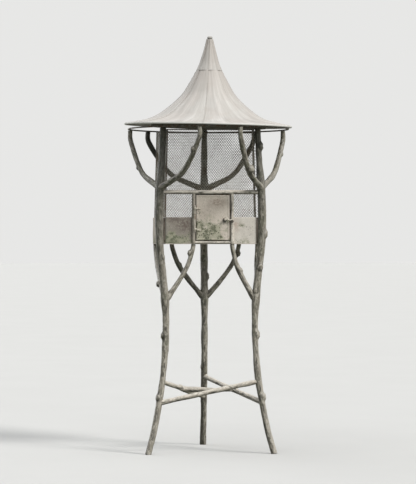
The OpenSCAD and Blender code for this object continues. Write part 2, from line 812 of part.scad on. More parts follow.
module latch_keeper() {
  z = door_base_z + latch_z - tongue_d - door_gap / 2;
  color("#6a6459") difference() {
    translate([jamb_right_x, apron_front_y, z]) rotate([90, 0, 0])
      cylinder(d = tongue_d, h = apron_front_y - tongue_y + tongue_d);
    translate([jamb_right_x, apron_front_y, apron_base_z])
      cylinder(d = jamb_d + 2 * seat, h = rail_z - apron_base_z);
  }
}

left_trunk();
right_trunk();
back_trunk();
left_low_branches();
right_low_branches();
back_low_branches();
left_high_branches();
right_high_branches();
back_high_branches();
front_stretcher();
right_stretcher();
left_stretcher();
stretcher_twig();
hoop();
ceiling_board();
roof_ring();
roof_skirt();
roof_collar();
roof_cap();
cage_floor();
front_left_apron();
front_right_apron();
left_apron();
right_apron();
back_apron();
cage_rods();
front_wire();
left_window_wire();
right_window_wire();
left_wire();
right_wire();
back_wire();
front_rail();
left_jamb();
right_jamb();
door_sill();
hinge_rod();
latch_keeper();
door_leaf();
door_hinge_eyes();
door_latch();
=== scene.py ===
"""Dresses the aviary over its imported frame: bark limbs, netting, flared roof, weathered sheets and door.

Every new piece is a surface worked out on a grid of two parameters, in metres, in the frame's own axes:
+Z up, -Y towards the door. The limbs follow the same middle lines as the solids that they stand for.
"""

import logging
import math
from dataclasses import dataclass, field
from enum import Enum
from typing import Callable, Sequence, Union

import bpy
import numpy as np
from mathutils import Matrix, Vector


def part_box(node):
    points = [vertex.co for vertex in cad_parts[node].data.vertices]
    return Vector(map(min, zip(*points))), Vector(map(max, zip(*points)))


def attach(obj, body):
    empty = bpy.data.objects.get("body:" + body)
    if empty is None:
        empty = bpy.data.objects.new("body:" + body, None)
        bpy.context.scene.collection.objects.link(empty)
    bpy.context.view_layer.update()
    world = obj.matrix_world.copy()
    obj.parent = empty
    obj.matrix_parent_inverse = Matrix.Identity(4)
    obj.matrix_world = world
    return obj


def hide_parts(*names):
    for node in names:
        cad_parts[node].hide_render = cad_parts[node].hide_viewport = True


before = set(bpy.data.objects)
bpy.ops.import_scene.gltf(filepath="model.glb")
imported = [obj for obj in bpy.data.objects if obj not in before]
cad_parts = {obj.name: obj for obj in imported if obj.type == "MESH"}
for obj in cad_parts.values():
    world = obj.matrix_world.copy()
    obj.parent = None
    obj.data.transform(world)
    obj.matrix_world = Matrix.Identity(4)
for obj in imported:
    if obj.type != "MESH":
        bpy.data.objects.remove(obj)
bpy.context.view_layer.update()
LOG = logging.getLogger("aviary")
Array = np.ndarray
Band = tuple[float, float]
Triple = tuple[float, float, float]
Colour = Triple
Shares = tuple[Band, ...]
Material = bpy.types.Material
Socket = bpy.types.NodeSocket
Value = Union[Socket, float]
X_WAY, Y_WAY, UP = np.eye(3)
MIRROR = np.array([-1.0, 1.0, 1.0])
FULL_TURN = 2.0 * math.pi


class Body(Enum):
    """The two bodies of the frame that pieces ride on."""

    ROOT = "root"
    DOOR = "door"


class Slot(Enum):
    """Material slots of the record that new pieces use."""

    LIMB = "limb"
    ROOF = "roof_sheet"
    APRON = "apron_sheet"
    WIRE = "wire"
    IRON = "dark_iron"


class Tier(Enum):
    """The two heights at which a leg forks, as the frame's nodes spell them."""

    LOW = "low"
    HIGH = "high"


class Leg(Enum):
    """The three legs, by the plan direction in which they stand."""

    LEFT = 210.0
    RIGHT = 330.0
    BACK = 90.0

    @property
    def label(self) -> str:
        """Name of the leg as the frame's nodes spell it."""
        return self.name.lower()


def ends(node: str) -> tuple[Array, Array]:
    """Lowest and highest corners of a node of the frame."""
    low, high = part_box(node)
    return np.array(low), np.array(high)


def middle(node: str) -> Array:
    """Middle of the box round a node of the frame."""
    return sum(ends(node)) / 2


def unit(vectors: Array) -> Array:
    """Vectors of length one along the last axis."""
    return vectors / np.linalg.norm(vectors, axis=-1, keepdims=True)


def plan_way(degrees: float) -> Array:
    """Level direction of a plan angle."""
    return np.array([math.cos(math.radians(degrees)), math.sin(math.radians(degrees)), 0.0])


def even_turns(count: int) -> Array:
    """Angles at even steps round a full turn."""
    return np.linspace(0.0, FULL_TURN, count, endpoint=False)


def smooth_step(part: Array) -> Array:
    """Smooth rise from 0 to 1: 3 t^2 - 2 t^3."""
    return part * part * (3.0 - 2.0 * part)


def stacked(*columns: Array) -> Array:
    """Grids of numbers brought to one shape, as the axes of points."""
    return np.stack(np.broadcast_arrays(*columns), axis=-1)


@dataclass(frozen=True)
class LatticeNoise:
    """Smooth noise between seeded values on a lattice that repeats.

    The value at a point is the mix of the eight lattice values round it, with the smooth steps of the point's
    place in its cell as weights.
    """

    seed: int = 20
    period: int = 48
    table: Array = field(init=False, repr=False)

    def __post_init__(self) -> None:
        """Draws the lattice values."""
        draw = np.random.default_rng(self.seed)
        object.__setattr__(self, "table", draw.uniform(-1.0, 1.0, (self.period,) * 3))

    def at(self, points: Array) -> Array:
        """Noise at points.

        Args:
            points: places in lattice cells, with the three axes last.

        Returns:
            Values from -1 to 1, one for each point.
        """
        cell = np.floor(points).astype(int)
        weight = smooth_step(points - cell)
        total = np.zeros(points.shape[:-1])
        for step in np.ndindex(2, 2, 2):
            place = (cell + step) % self.period
            share = np.where(np.array(step) == 1, weight, 1.0 - weight).prod(axis=-1)
            total += share * self.table[place[..., 0], place[..., 1], place[..., 2]]
        return total


NOISE = LatticeNoise()


@dataclass
class Surface:
    """A mesh as whole arrays: points, four-sided and three-sided faces, and values at the points."""

    points: Array
    quads: Array
    tris: Array = field(default_factory=lambda: np.zeros((0, 3), int))
    values: dict[str, Array] = field(default_factory=dict)

    def outward(self) -> "Surface":
        """Turns the faces outwards, by the sign of the enclosed volume: the sum of a . (b x c) / 6.

        Returns:
            The surface itself.
        """
        tris = np.vstack([self.tris, self.quads[:, [0, 1, 2]], self.quads[:, [0, 2, 3]]])
        a, b, c = (self.points[tris[:, k]] for k in range(3))
        if np.einsum("ij,ij->i", a, np.cross(b, c)).sum() < 0.0:
            self.quads = self.quads[:, ::-1]
            self.tris = self.tris[:, ::-1]
        return self


def joined(parts: Sequence[Surface]) -> Surface:
    """Several surfaces as one, with their faces renumbered."""
    starts = np.cumsum([0] + [len(part.points) for part in parts])
    return Surface(
        np.vstack([part.points for part in parts]),
        np.vstack([part.quads + start for part, start in zip(parts, starts)]),
        np.vstack([part.tris + start for part, start in zip(parts, starts)]),
        {key: np.concatenate([part.values[key] for part in parts]) for key in parts[0].values},
    )


def grid_quads(rows: int, columns: int, wrap_rows: bool = False) -> Array:
    """Faces of a grid of points numbered row by row, whose last column joins the first.

    Args:
        rows: number of rows of points.
        columns: points in a row.
        wrap_rows: whether the last row joins the first too.

    Returns:
        One row of four point numbers for each face.
    """
    i = np.arange(rows if wrap_rows else rows - 1)[:, None]
    j = np.arange(columns)
    below, beside = (i + 1) % rows, (j + 1) % columns
    corners = (i * columns + j, i * columns + beside, below * columns + beside, below * columns + j)
    return stacked(*corners).reshape(-1, 4)


def tube(rings: Array, values: dict[str, Array] | None = None) -> Surface:
    """Closed skin over rings of points, with one pole at the middle of each end ring.

    Args:
        rings: points as (ring, place round it, axis).
        values: numbers or vectors at the points, laid out as the rings are.

    Returns:
        The skin, facing outwards.
    """
    count, sides = rings.shape[:2]
    total = count * sides
    here = np.arange(sides)
    beside = (here + 1) % sides
    foot = np.column_stack([np.full(sides, total), beside, here])
    head = np.column_stack([np.full(sides, total + 1), total - sides + here, total - sides + beside])

    def with_poles(grid: Array) -> Array:
        """A grid's rows one after the other, and the means of its end rings."""
        return np.concatenate([grid.reshape(total, -1), grid[[0, -1]].mean(axis=1).reshape(2, -1)])

    spread = {key: with_poles(grid) for key, grid in (values or {}).items()}
    return Surface(with_poles(rings), grid_quads(count, sides), np.vstack([foot, head]), spread).outward()


def ring_surface(grid: Array, values: dict[str, Array] | None = None) -> Surface:
    """Closed skin over a grid of points whose rows and columns both come back to their start.

    Args:
        grid: points as (row, column, axis).
        values: numbers or vectors at the points, laid out as the grid is.

    Returns:
        The skin, facing outwards.
    """
    rows, columns = grid.shape[:2]
    spread = {key: value.reshape(rows * columns, -1) for key, value in (values or {}).items()}
    return Surface(grid.reshape(-1, 3), grid_quads(rows, columns, True), values=spread).outward()


def strip_sweep(sections: Array, values: dict[str, Array] | None = None) -> Surface:
    """Closed skin over sections that each run along a sheet's face and back along its other face.

    The point k of a section lies across the sheet from its point n - 1 - k, so strips close the two ends.

    Args:
        sections: points as (section, place in it, axis).
        values: numbers at the points, laid out as the sections are.

    Returns:
        The skin, facing outwards.
    """
    count, loop = sections.shape[:2]
    k = np.arange(loop // 2 - 1)
    end = np.column_stack([k, k + 1, loop - 2 - k, loop - 1 - k])
    quads = np.vstack([grid_quads(count, loop), end[:, ::-1], end + (count - 1) * loop])
    spread = {key: grid.reshape(count * loop, -1) for key, grid in (values or {}).items()}
    return Surface(sections.reshape(-1, 3), quads, values=spread).outward()


def path_frames(path: Array, side: Array) -> tuple[Array, Array]:
    """Two directions square to a path at each of its points.

    Args:
        path: points of the path.
        side: a direction that the path never runs along.

    Returns:
        The side direction made square to the path, and the one square to both.
    """
    ahead = unit(np.gradient(path, axis=0))
    across = unit(side - (ahead @ side)[:, None] * ahead)
    return across, np.cross(ahead, across)


def round_rod(path: Array, diameter: float, side: Array, sides: int = 12) -> Surface:
    """Rod of one thickness along a path: centre + r (cos a, sin a) in the path's own directions.

    Args:
        path: points of its middle line.
        diameter: its thickness.
        side: a direction that the path never runs along.
        sides: points round it.

    Returns:
        The closed rod.
    """
    across, beyond = path_frames(path, side)
    angle = even_turns(sides)[None, :, None]
    ring = across[:, None] * np.cos(angle) + beyond[:, None] * np.sin(angle)
    return tube(path[:, None] + diameter / 2 * ring)


def turned(profile: Array, axis: Array, side: Array, sides: int) -> Array:
    """Rings of a turned shape: height * axis + radius (side cos a + (axis x side) sin a).

    Args:
        profile: radius and height, one place to a row.
        axis: direction in which the heights run.
        side: direction from which the angle a counts, square to the axis.
        sides: points on a ring.

    Returns:
        Points as (ring, place round it, axis).
    """
    angle = even_turns(sides)[:, None]
    outward = side * np.cos(angle) + np.cross(axis, side) * np.sin(angle)
    return profile[:, None, 1:] * axis + profile[:, None, :1] * outward


def catmull_rom(rows: Array, steps: int = 24) -> Array:
    """Smooth curve through rows: on each span the cubic whose end slopes are those of the rows beside it.

    Args:
        rows: places on the curve, one to a row.
        steps: points on each span.

    Returns:
        The curve's points.
    """
    padded = np.vstack([rows[:1], rows, rows[-1:]])
    p0, p1, p2, p3 = (padded[k:len(padded) - 3 + k, None] for k in range(4))
    t = (np.arange(steps) / steps)[None, :, None]
    square, cube = 2 * p0 - 5 * p1 + 4 * p2 - p3, 3 * p1 - p0 - 3 * p2 + p3
    curve = (2 * p1 + (p2 - p0) * t + square * t**2 + cube * t**3) / 2
    return np.vstack([curve.reshape(-1, rows.shape[1]), rows[-1:]])


def run_along(line: Array) -> Array:
    """Distance of each point of a line from its start, along the line."""
    return np.concatenate([[0.0], np.cumsum(np.linalg.norm(np.diff(line, axis=0), axis=1))])


def resample(line: Array, spacing: float, fewest: int = 8) -> Array:
    """The same line with points at even distances along it.

    Args:
        line: places in its first three columns, and any other values beside them.
        spacing: about how far apart the new points lie.
        fewest: smallest number of steps.

    Returns:
        The new rows.
    """
    along = run_along(line[:, :3])
    marks = np.linspace(0.0, along[-1], max(int(along[-1] / spacing), fewest) + 1)
    return np.column_stack([np.interp(marks, along, column) for column in line.T])


def outward_normals(outline: Array) -> Array:
    """Directions square to an outline of radius and height, on the side away from the axis."""
    ahead = unit(np.gradient(outline, axis=0))
    return np.column_stack([ahead[:, 1], -ahead[:, 0]]) * np.where(ahead[:, 1:] < 0, -1.0, 1.0)


class NodeSketch:
    """A short way to add and join the nodes of one shader tree."""

    def __init__(self, tree: bpy.types.NodeTree) -> None:
        """Keeps the tree."""
        self.tree = tree

    def feed(self, node: bpy.types.Node, feeds: dict) -> None:
        """Gives a node's inputs what they work on.

        Args:
            node: the node.
            feeds: sockets to join or plain values, by the name or number of the input.
        """
        for key, source in feeds.items():
            if isinstance(source, Socket):
                self.tree.links.new(source, node.inputs[key])
            else:
                node.inputs[key].default_value = source

    def add(self, kind: str, feeds: dict | None = None, **settings) -> bpy.types.Node:
        """Adds a node.

        Args:
            kind: the node's type.
            feeds: what goes into its inputs.
            settings: properties to set on it.

        Returns:
            The node.
        """
        node = self.tree.nodes.new(kind)
        for key, value in settings.items():
            setattr(node, key, value)
        self.feed(node, feeds or {})
        return node

    def math(self, operation: str, a: Value, b: Value) -> Socket:
        """One sum of two values."""
        return self.add("ShaderNodeMath", {0: a, 1: b}, operation=operation).outputs[0]

    def times(self, a: Value, b: Value) -> Socket:
        """Product of two values."""
        return self.math("MULTIPLY", a, b)

    def vector_math(self, operation: str, a: Socket, b: Socket | Triple) -> Socket:
        """One sum of two vectors."""
        return self.add("ShaderNodeVectorMath", {0: a, 1: b}, operation=operation).outputs[0]

    def mix(self, share: Value, a: Socket | Colour, b: Socket | Colour) -> Socket:
        """Colour between a and b, at a share from 0 to 1."""
        a, b = ((*paint, 1.0) if isinstance(paint, tuple) else paint for paint in (a, b))
        return self.add("ShaderNodeMix", {0: share, 6: a, 7: b}, data_type="RGBA").outputs[2]

    def noise(self, vector: Socket, scale: Value, detail: float = 4.0, roughness: float = 0.6) -> Socket:
        """Noise value at a vector."""
        feeds = {"Vector": vector, "Scale": scale, "Detail": detail, "Roughness": roughness}
        return self.add("ShaderNodeTexNoise", feeds).outputs["Fac"]

    def ease(self, value: Socket, band: tuple[Value, Value]) -> Socket:
        """Smooth step from 0 at the band's first value to 1 at its second."""
        feeds = {"Value": value, "From Min": band[0], "From Max": band[1]}
        return self.add("ShaderNodeMapRange", feeds, interpolation_type="SMOOTHSTEP").outputs[0]

    def number(self, name: str) -> Socket:
        """A number that the mesh holds at its points."""
        return self.add("ShaderNodeAttribute", attribute_name=name).outputs["Fac"]

    def grain(self) -> Socket:
        """The coordinates along its surface that the mesh holds at its points."""
        return self.add("ShaderNodeAttribute", attribute_name="grain").outputs["Vector"]

    def place(self) -> Socket:
        """Object coordinates, in metres."""
        return self.add("ShaderNodeTexCoord").outputs["Object"]

    def part(self, vector: Socket, axis: str) -> Socket:
        """One axis of a vector."""
        return self.add("ShaderNodeSeparateXYZ", {0: vector}).outputs[axis]

    def effect(self, group: bpy.types.NodeTree, **feeds) -> Socket:
        """Places a shared effect and gives its mask."""
        return self.add("ShaderNodeGroup", feeds, node_tree=group).outputs["Mask"]


def effect_group(name: str, inputs: dict[str, float], draw: Callable) -> bpy.types.NodeTree:
    """Builds a shared shader effect that puts out one mask.

    Args:
        name: name of the group.
        inputs: its number inputs and their usual values, beside the vector.
        draw: makes the mask from a sketch and the group's input sockets.

    Returns:
        The node group.
    """
    tree = bpy.data.node_groups.new(name, "ShaderNodeTree")
    tree.interface.new_socket("Vector", in_out="INPUT", socket_type="NodeSocketVector")
    for key, value in inputs.items():
        socket = tree.interface.new_socket(key, in_out="INPUT", socket_type="NodeSocketFloat")
        socket.default_value = value
    tree.interface.new_socket("Mask", in_out="OUTPUT", socket_type="NodeSocketFloat")
    sketch = NodeSketch(tree)
    mask = draw(sketch, sketch.add("NodeGroupInput").outputs)
    sketch.add("NodeGroupOutput", {"Mask": mask})
    return tree


def draw_patches(sketch: NodeSketch, given: bpy.types.NodeOutputs) -> Socket:
    """Soft-edged patches: noise over a threshold of 0.7 - 0.4 cover.

    Args:
        sketch: the group's sketch.
        given: the group's inputs.

    Returns:
        The mask.
    """
    noise = sketch.noise(given["Vector"], given["Scale"], detail=6.0, roughness=0.62)
    edge = sketch.math("SUBTRACT", 0.7, sketch.times(given["Cover"], 0.4))
    band = tuple(sketch.math(operation, edge, given["Softness"]) for operation in ("SUBTRACT", "ADD"))
    return sketch.ease(noise, band)


def draw_streaks(sketch: NodeSketch, given: bpy.types.NodeOutputs) -> Socket:
    """Streaks along the third axis: noise with that axis drawn out.

    Args:
        sketch: the group's sketch.
        given: the group's inputs.

    Returns:
        The mask.
    """
    scales = {0: given["Across"], 1: given["Across"], 2: given["Along"]}
    factors = sketch.add("ShaderNodeCombineXYZ", scales).outputs[0]
    drawn = sketch.vector_math("MULTIPLY", given["Vector"], factors)
    return sketch.ease(sketch.noise(drawn, 1.0, detail=5.0, roughness=0.65), (0.36, 0.64))


def draw_specks(sketch: NodeSketch, given: bpy.types.NodeOutputs) -> Socket:
    """Small irregular specks: places nearer to the seed of their cell than a size, where noise lets them.

    Noise bends the cells by 6 mm, and a speck is full at 0.45 of its size.

    Args:
        sketch: the group's sketch.
        given: the group's inputs.

    Returns:
        The mask.
    """
    feeds = {"Vector": given["Vector"], "Scale": given["Scale"], "Detail": 2.0}
    warp = sketch.add("ShaderNodeTexNoise", feeds).outputs["Color"]
    bent = sketch.vector_math("MULTIPLY", warp, (0.006, 0.006, 0.006))
    moved = sketch.vector_math("ADD", given["Vector"], bent)
    cells = sketch.add("ShaderNodeTexVoronoi", {"Vector": moved, "Scale": given["Scale"]})
    near = sketch.ease(cells.outputs["Distance"], (given["Size"], sketch.times(given["Size"], 0.45)))
    lets = sketch.noise(given["Vector"], sketch.times(given["Scale"], 0.16))
    return sketch.times(near, sketch.ease(lets, (0.47, 0.56)))


PATCHES = effect_group("weather_patches", {"Scale": 8.0, "Cover": 0.5, "Softness": 0.05}, draw_patches)
STREAKS = effect_group("long_streaks", {"Across": 200.0, "Along": 20.0}, draw_streaks)
SPECKS = effect_group("small_specks", {"Scale": 120.0, "Size": 0.3}, draw_specks)


@dataclass(frozen=True)
class Patches:
    """Settings of soft-edged patches: scale, softness of their edges, and the share that they cover."""

    scale: float
    softness: float
    cover: float = 0.5

    def mask(self, sketch: NodeSketch, vector: Socket, cover: Value | None = None) -> Socket:
        """Places the effect, with its own cover or with another."""
        share = self.cover if cover is None else cover
        return sketch.effect(PATCHES, Vector=vector, Scale=self.scale, Cover=share, Softness=self.softness)


@dataclass(frozen=True)
class Streaks:
    """Settings of streaks: their scales across and along."""

    across: float
    along: float

    def mask(self, sketch: NodeSketch, vector: Socket) -> Socket:
        """Places the effect."""
        return sketch.effect(STREAKS, Vector=vector, Across=self.across, Along=self.along)


@dataclass(frozen=True)
class Specks:
    """Settings of specks: their scale, and their size in its cells."""

    scale: float
    size: float

    def mask(self, sketch: NodeSketch, vector: Socket) -> Socket:
        """Places the effect."""
        return sketch.effect(SPECKS, Vector=vector, Scale=self.scale, Size=self.size)


class Coat(NodeSketch):
    """A material under way: the sketch of its tree, its one shader, and the colour that layers cover."""

    def __init__(self, name: str) -> None:
        """Starts an empty material.

        Args:
            name: the material's name.
        """
        self.material = bpy.data.materials.new(name)
        self.material.use_nodes = True
        super().__init__(self.material.node_tree)
        self.shader = self.tree.nodes["Principled BSDF"]
        self.colour: Socket | None = None

    def start(self, mask: Socket, low: Colour, high: Colour) -> None:
        """Lays the ground, between two colours."""
        self.colour = self.mix(mask, low, high)

    def layer(self, mask: Socket, share: float, paint: Colour) -> None:
        """Lays a paint over the colour, at a share of a mask."""
        self.colour = self.mix(self.times(mask, share), self.colour, paint)

    def done(self, roughness: Value, height: Socket, strength: float, depth: float) -> Material:
        """Gives the shader its colour, roughness and relief.

        Args:
            roughness: how dull it is.
            height: what raises the surface.
            strength: share of that height which shows.
            depth: how far a height of one stands out.

        Returns:
            The finished material.
        """
        bump = self.add("ShaderNodeBump", {"Height": height, "Strength": strength, "Distance": depth})
        feeds = {"Base Color": self.colour, "Roughness": roughness, "Normal": bump.outputs[0]}
        self.feed(self.shader, feeds)
        return self.material


@dataclass(frozen=True)
class BarkFinish:
    """Weathered bark-like coat of the limbs: mottled lichen, algae, painted light and shade on its furrows,
    painted light above, painted shade beneath and towards the roof.
    """

    name: str
    pale: Colour = (0.41, 0.378, 0.322)
    body: Colour = (0.165, 0.148, 0.114)
    dark: Colour = (0.036, 0.032, 0.024)
    algae: Colour = (0.095, 0.105, 0.052)
    lichen: Colour = (0.50, 0.468, 0.405)
    # Colour of the painted shade that darkens the limbs towards the roof.
    painted_shade: Colour = (0.012, 0.013, 0.008)
    mottle: float = 0.62
    algae_cover: float = 0.55
    algae_low_share: float = 0.4
    algae_paint: float = 0.6
    lichen_cover: float = 0.4
    lichen_paint: float = 0.72
    ridge_paint: float = 0.4
    furrow_paint: float = 0.85
    speck_paint: float = 0.6
    # Shares of painted light on the side that faces the light direction, and of painted shade on the side
    # away from it.
    painted_light: float = 0.5
    damp_and_shade: float = 0.6
    shade: float = 0.6
    shade_from: float = 1.0
    shade_to: float = 1.8
    algae_band: Band = (0.75, 1.7)
    ridge_band: Band = (0.3, 0.95)
    furrow_band: Band = (0.1, -0.7)
    lit_band: Band = (0.15, 0.75)
    under_band: Band = (0.15, -0.6)
    rough_band: Band = (1.3, -0.6)
    drawn_out: Triple = (1.0, 1.0, 0.4)
    streaks: Streaks = Streaks(210.0, 24.0)
    mottles: Patches = Patches(62.0, 0.045, 0.42)
    growth: Patches = Patches(13.0, 0.09)
    crusts: Patches = Patches(84.0, 0.04)
    specks: Specks = Specks(150.0, 0.36)
    fine_scale: float = 420.0
    crust_height: float = 0.8
    bump_strength: float = 0.6
    bump_depth: float = 0.0016

    def material(self) -> Material:
        """Builds the material on the limb's own grain coordinates.

        Returns:
            The material.
        """
        coat = Coat(self.name)
        grain, relief, facing = coat.grain(), coat.number("relief"), coat.number("facing")
        height = coat.part(coat.place(), "Z")
        drawn = coat.vector_math("MULTIPLY", grain, self.drawn_out)
        coat.start(self.streaks.mask(coat, grain), self.body, self.pale)
        coat.layer(self.mottles.mask(coat, drawn), self.mottle, self.dark)
        high = coat.times(coat.ease(height, self.algae_band), 1.0 - self.algae_low_share)
        cover = coat.times(coat.math("ADD", high, self.algae_low_share), self.algae_cover)
        coat.layer(self.growth.mask(coat, grain, cover), self.algae_paint, self.algae)
        crust = self.crusts.mask(coat, drawn, self.lichen_cover)
        coat.layer(crust, self.lichen_paint, self.lichen)
        # Painted light and shade on the relief: ridges and knot crowns lightened, furrows and the rings round
        # knots darkened.
        coat.layer(coat.ease(relief, self.ridge_band), self.ridge_paint, self.pale)
        coat.layer(coat.ease(relief, self.furrow_band), self.furrow_paint, self.dark)
        coat.layer(self.specks.mask(coat, drawn), self.speck_paint, self.dark)
        # Painted light on the side that faces the light direction, painted shade on the side away from it.
        coat.layer(coat.ease(facing, self.lit_band), self.painted_light, self.lichen)
        coat.layer(coat.ease(facing, self.under_band), self.damp_and_shade, self.dark)
        # Painted shade: darker upwards from shade_from to shade_to, as under the roof.
        coat.layer(coat.ease(height, (self.shade_from, self.shade_to)), self.shade, self.painted_shade)
        fine = coat.noise(grain, self.fine_scale, detail=5.0, roughness=0.7)
        raised = coat.math("ADD", fine, coat.times(crust, self.crust_height))
        return coat.done(coat.ease(fine, self.rough_band), raised, self.bump_strength, self.bump_depth)


@dataclass(frozen=True)
class SheetFinish:
    """Weathered painted sheet: fine blotches, rust bleed, algae that tints damp places and clumps there, and
    painted shade along its edges and foot.
    """

    name: str
    base: Colour = (0.53, 0.47, 0.405)
    pale: Colour = (0.71, 0.645, 0.57)
    rust: Colour = (0.27, 0.185, 0.14)
    tint: Colour = (0.34, 0.345, 0.245)
    algae: Colour = (0.075, 0.09, 0.05)
    dark: Colour = (0.035, 0.032, 0.026)
    shift: Triple = (0.0, 0.0, 0.0)
    blotch_paint: float = 0.45
    rust_paint: float = 0.85
    tint_paint: float = 0.68
    clump_cover: float = 0.95
    algae_paint: float = 0.72
    speck_paint: float = 0.85
    dry_specks: float = 0.3
    paint_band: Band = (0.34, 0.66)
    worn_band: Band = (0.3, 0.62)
    gather_band: Band = (0.3, 0.75)
    rough_band: Band = (-1.6, 0.6)
    blotches: Patches = Patches(34.0, 0.12, 0.42)
    zones: Patches = Patches(24.0, 0.1)
    clumps: Patches = Patches(210.0, 0.06)
    specks: Specks = Specks(85.0, 0.34)
    fine_scale: float = 330.0
    worn_scale: float = 95.0
    gather_scale: float = 42.0
    bump_strength: float = 0.4
    bump_depth: float = 0.0012

    def material(self) -> Material:
        """Builds the material on object coordinates, and the stains and painted shade that the sheet holds at
        its points.

        Returns:
            The material.
        """
        coat = Coat(self.name)
        place = coat.vector_math("ADD", coat.place(), self.shift)
        damp_and_shade, bleed, painted_shade = (coat.number(key) for key in ("damp_and_shade", "bleed", "painted_shade"))
        fine = coat.noise(place, self.fine_scale, detail=5.0, roughness=0.7)
        coat.start(coat.ease(fine, self.paint_band), self.base, self.pale)
        coat.layer(self.blotches.mask(coat, place), self.blotch_paint, self.base)
        worn = coat.noise(place, self.worn_scale, detail=5.0, roughness=0.7)
        coat.layer(coat.times(bleed, coat.ease(worn, self.worn_band)), self.rust_paint, self.rust)
        zone = self.zones.mask(coat, place, damp_and_shade)
        coat.layer(zone, self.tint_paint, self.tint)
        gather = coat.ease(coat.noise(place, self.gather_scale, detail=3.0), self.gather_band)
        thick = coat.times(coat.times(gather, zone), self.clump_cover)
        clump = coat.times(self.clumps.mask(coat, place, thick), self.algae_paint)
        coat.layer(clump, 1.0, self.algae)
        specks = coat.times(self.specks.mask(coat, place), coat.math("ADD", damp_and_shade, self.dry_specks))
        coat.layer(specks, self.speck_paint, self.dark)
        # Painted shade: dark lines along the sheet's edges and foot, where it meets the parts beside it.
        coat.layer(painted_shade, 1.0, self.dark)
        raised = coat.math("ADD", fine, clump)
        return coat.done(coat.ease(zone, self.rough_band), raised, self.bump_strength, self.bump_depth)


@dataclass(frozen=True)
class RoofFinish:
    """Pale painted roof sheet: run-off streaks down the slope, grey stains, a painted highlight along the
    rim, dark seams.
    """

    name: str
    base: Colour = (0.485, 0.466, 0.437)
    pale: Colour = (0.585, 0.567, 0.54)
    stain: Colour = (0.32, 0.304, 0.282)
    blush: Colour = (0.455, 0.405, 0.37)
    rim: Colour = (0.80, 0.79, 0.765)
    dark: Colour = (0.06, 0.055, 0.046)
    seam: float = 0.2
    rim_share: float = 0.024
    rim_fade: float = 0.6
    rim_highlight: float = 0.8
    thin_paint: float = 0.28
    blush_paint: float = 0.4
    stain_paint: float = 0.4
    speck_paint: float = 0.35
    top_paint: float = 0.45
    top_band: Band = (0.5, 1.0)
    rough_band: Band = (-0.9, 1.4)
    drawn_out: Triple = (16.0, 16.0, 3.0)
    runs: Streaks = Streaks(26.0, 2.2)
    thin_runs: Streaks = Streaks(120.0, 7.0)
    blushes: Patches = Patches(7.0, 0.1, 0.42)
    stains: Patches = Patches(1.0, 0.1, 0.4)
    specks: Specks = Specks(90.0, 0.3)
    fine_scale: float = 260.0
    bump_strength: float = 0.22
    bump_depth: float = 0.001

    def material(self) -> Material:
        """Builds the material on the slope coordinates of the roof.

        Returns:
            The material.
        """
        coat = Coat(self.name)
        grain, seam, rise = coat.grain(), coat.number("relief"), coat.number("rise")
        coat.start(self.runs.mask(coat, grain), self.base, self.pale)
        coat.layer(self.thin_runs.mask(coat, grain), self.thin_paint, self.stain)
        coat.layer(self.blushes.mask(coat, grain), self.blush_paint, self.blush)
        drawn = coat.vector_math("MULTIPLY", grain, self.drawn_out)
        coat.layer(self.stains.mask(coat, drawn), self.stain_paint, self.stain)
        coat.layer(self.specks.mask(coat, grain), self.speck_paint, self.stain)
        coat.layer(coat.ease(rise, self.top_band), self.top_paint, self.blush)
        # Painted highlight: a pale band along the rim at the roof's lower edge.
        rim = coat.ease(rise, (self.rim_share, self.rim_fade * self.rim_share))
        coat.layer(rim, self.rim_highlight, self.rim)
        # Dark gore seams; on the cap this layer paints painted shade round its foot.
        coat.layer(seam, self.seam, self.dark)
        fine = coat.noise(grain, self.fine_scale, roughness=0.65)
        return coat.done(coat.ease(fine, self.rough_band), fine, self.bump_strength, self.bump_depth)


@dataclass(frozen=True)
class MetalFinish:
    """Dull metal that rusts in patches, for netting, rods and door furniture."""

    name: str
    base: Colour = (0.075, 0.068, 0.058)
    worn: Colour = (0.17, 0.155, 0.13)
    rust: Colour = (0.15, 0.078, 0.04)
    metallic: float = 0.35
    rust_cover: float = 0.4
    rust_paint: float = 0.75
    worn_cover: float = 0.45
    scale: float = 40.0
    worn_scale_share: float = 2.2
    softness: float = 0.08
    rough_band: Band = (-1.2, 1.6)
    fine_scale: float = 500.0
    bump_strength: float = 0.35
    bump_depth: float = 0.0008

    def material(self) -> Material:
        """Builds the material on object coordinates.

        Returns:
            The material.
        """
        coat = Coat(self.name)
        place = coat.place()
        worn = Patches(self.scale * self.worn_scale_share, self.softness, self.worn_cover)
        coat.start(worn.mask(coat, place), self.base, self.worn)
        rust = Patches(self.scale, self.softness, self.rust_cover).mask(coat, place)
        coat.layer(rust, self.rust_paint, self.rust)
        coat.feed(coat.shader, {"Metallic": self.metallic})
        fine = coat.noise(place, self.fine_scale, roughness=0.7)
        return coat.done(coat.ease(rust, self.rough_band), fine, self.bump_strength, self.bump_depth)


@dataclass(frozen=True)
class PlankFinish:
    """Dark weathered planks of the ceiling board: grain along Y, joints at even steps along X."""

    name: str
    base: Colour = (0.075, 0.064, 0.05)
    pale: Colour = (0.15, 0.13, 0.10)
    dark: Colour = (0.02, 0.017, 0.013)
    plank_w: float = 0.094
    joint_band: Band = (0.0022, 0.0006)
    streaks: Streaks = Streaks(160.0, 6.0)
    roughness: float = 0.9
    bump_strength: float = 0.5
    bump_depth: float = 0.0015

    def material(self) -> Material:
        """Builds the material on object coordinates.

        Returns:
            The material.
        """
        coat = Coat(self.name)
        place = coat.place()
        lying = coat.add("ShaderNodeMapping", {"Vector": place, "Rotation": (FULL_TURN / 4, 0.0, 0.0)})
        streak = self.streaks.mask(coat, lying.outputs[0])
        coat.start(streak, self.base, self.pale)
        step = coat.math("PINGPONG", coat.part(place, "X"), self.plank_w / 2)
        joint = coat.ease(step, self.joint_band)
        coat.layer(joint, 1.0, self.dark)
        raised = coat.math("SUBTRACT", streak, joint)
        return coat.done(self.roughness, raised, self.bump_strength, self.bump_depth)


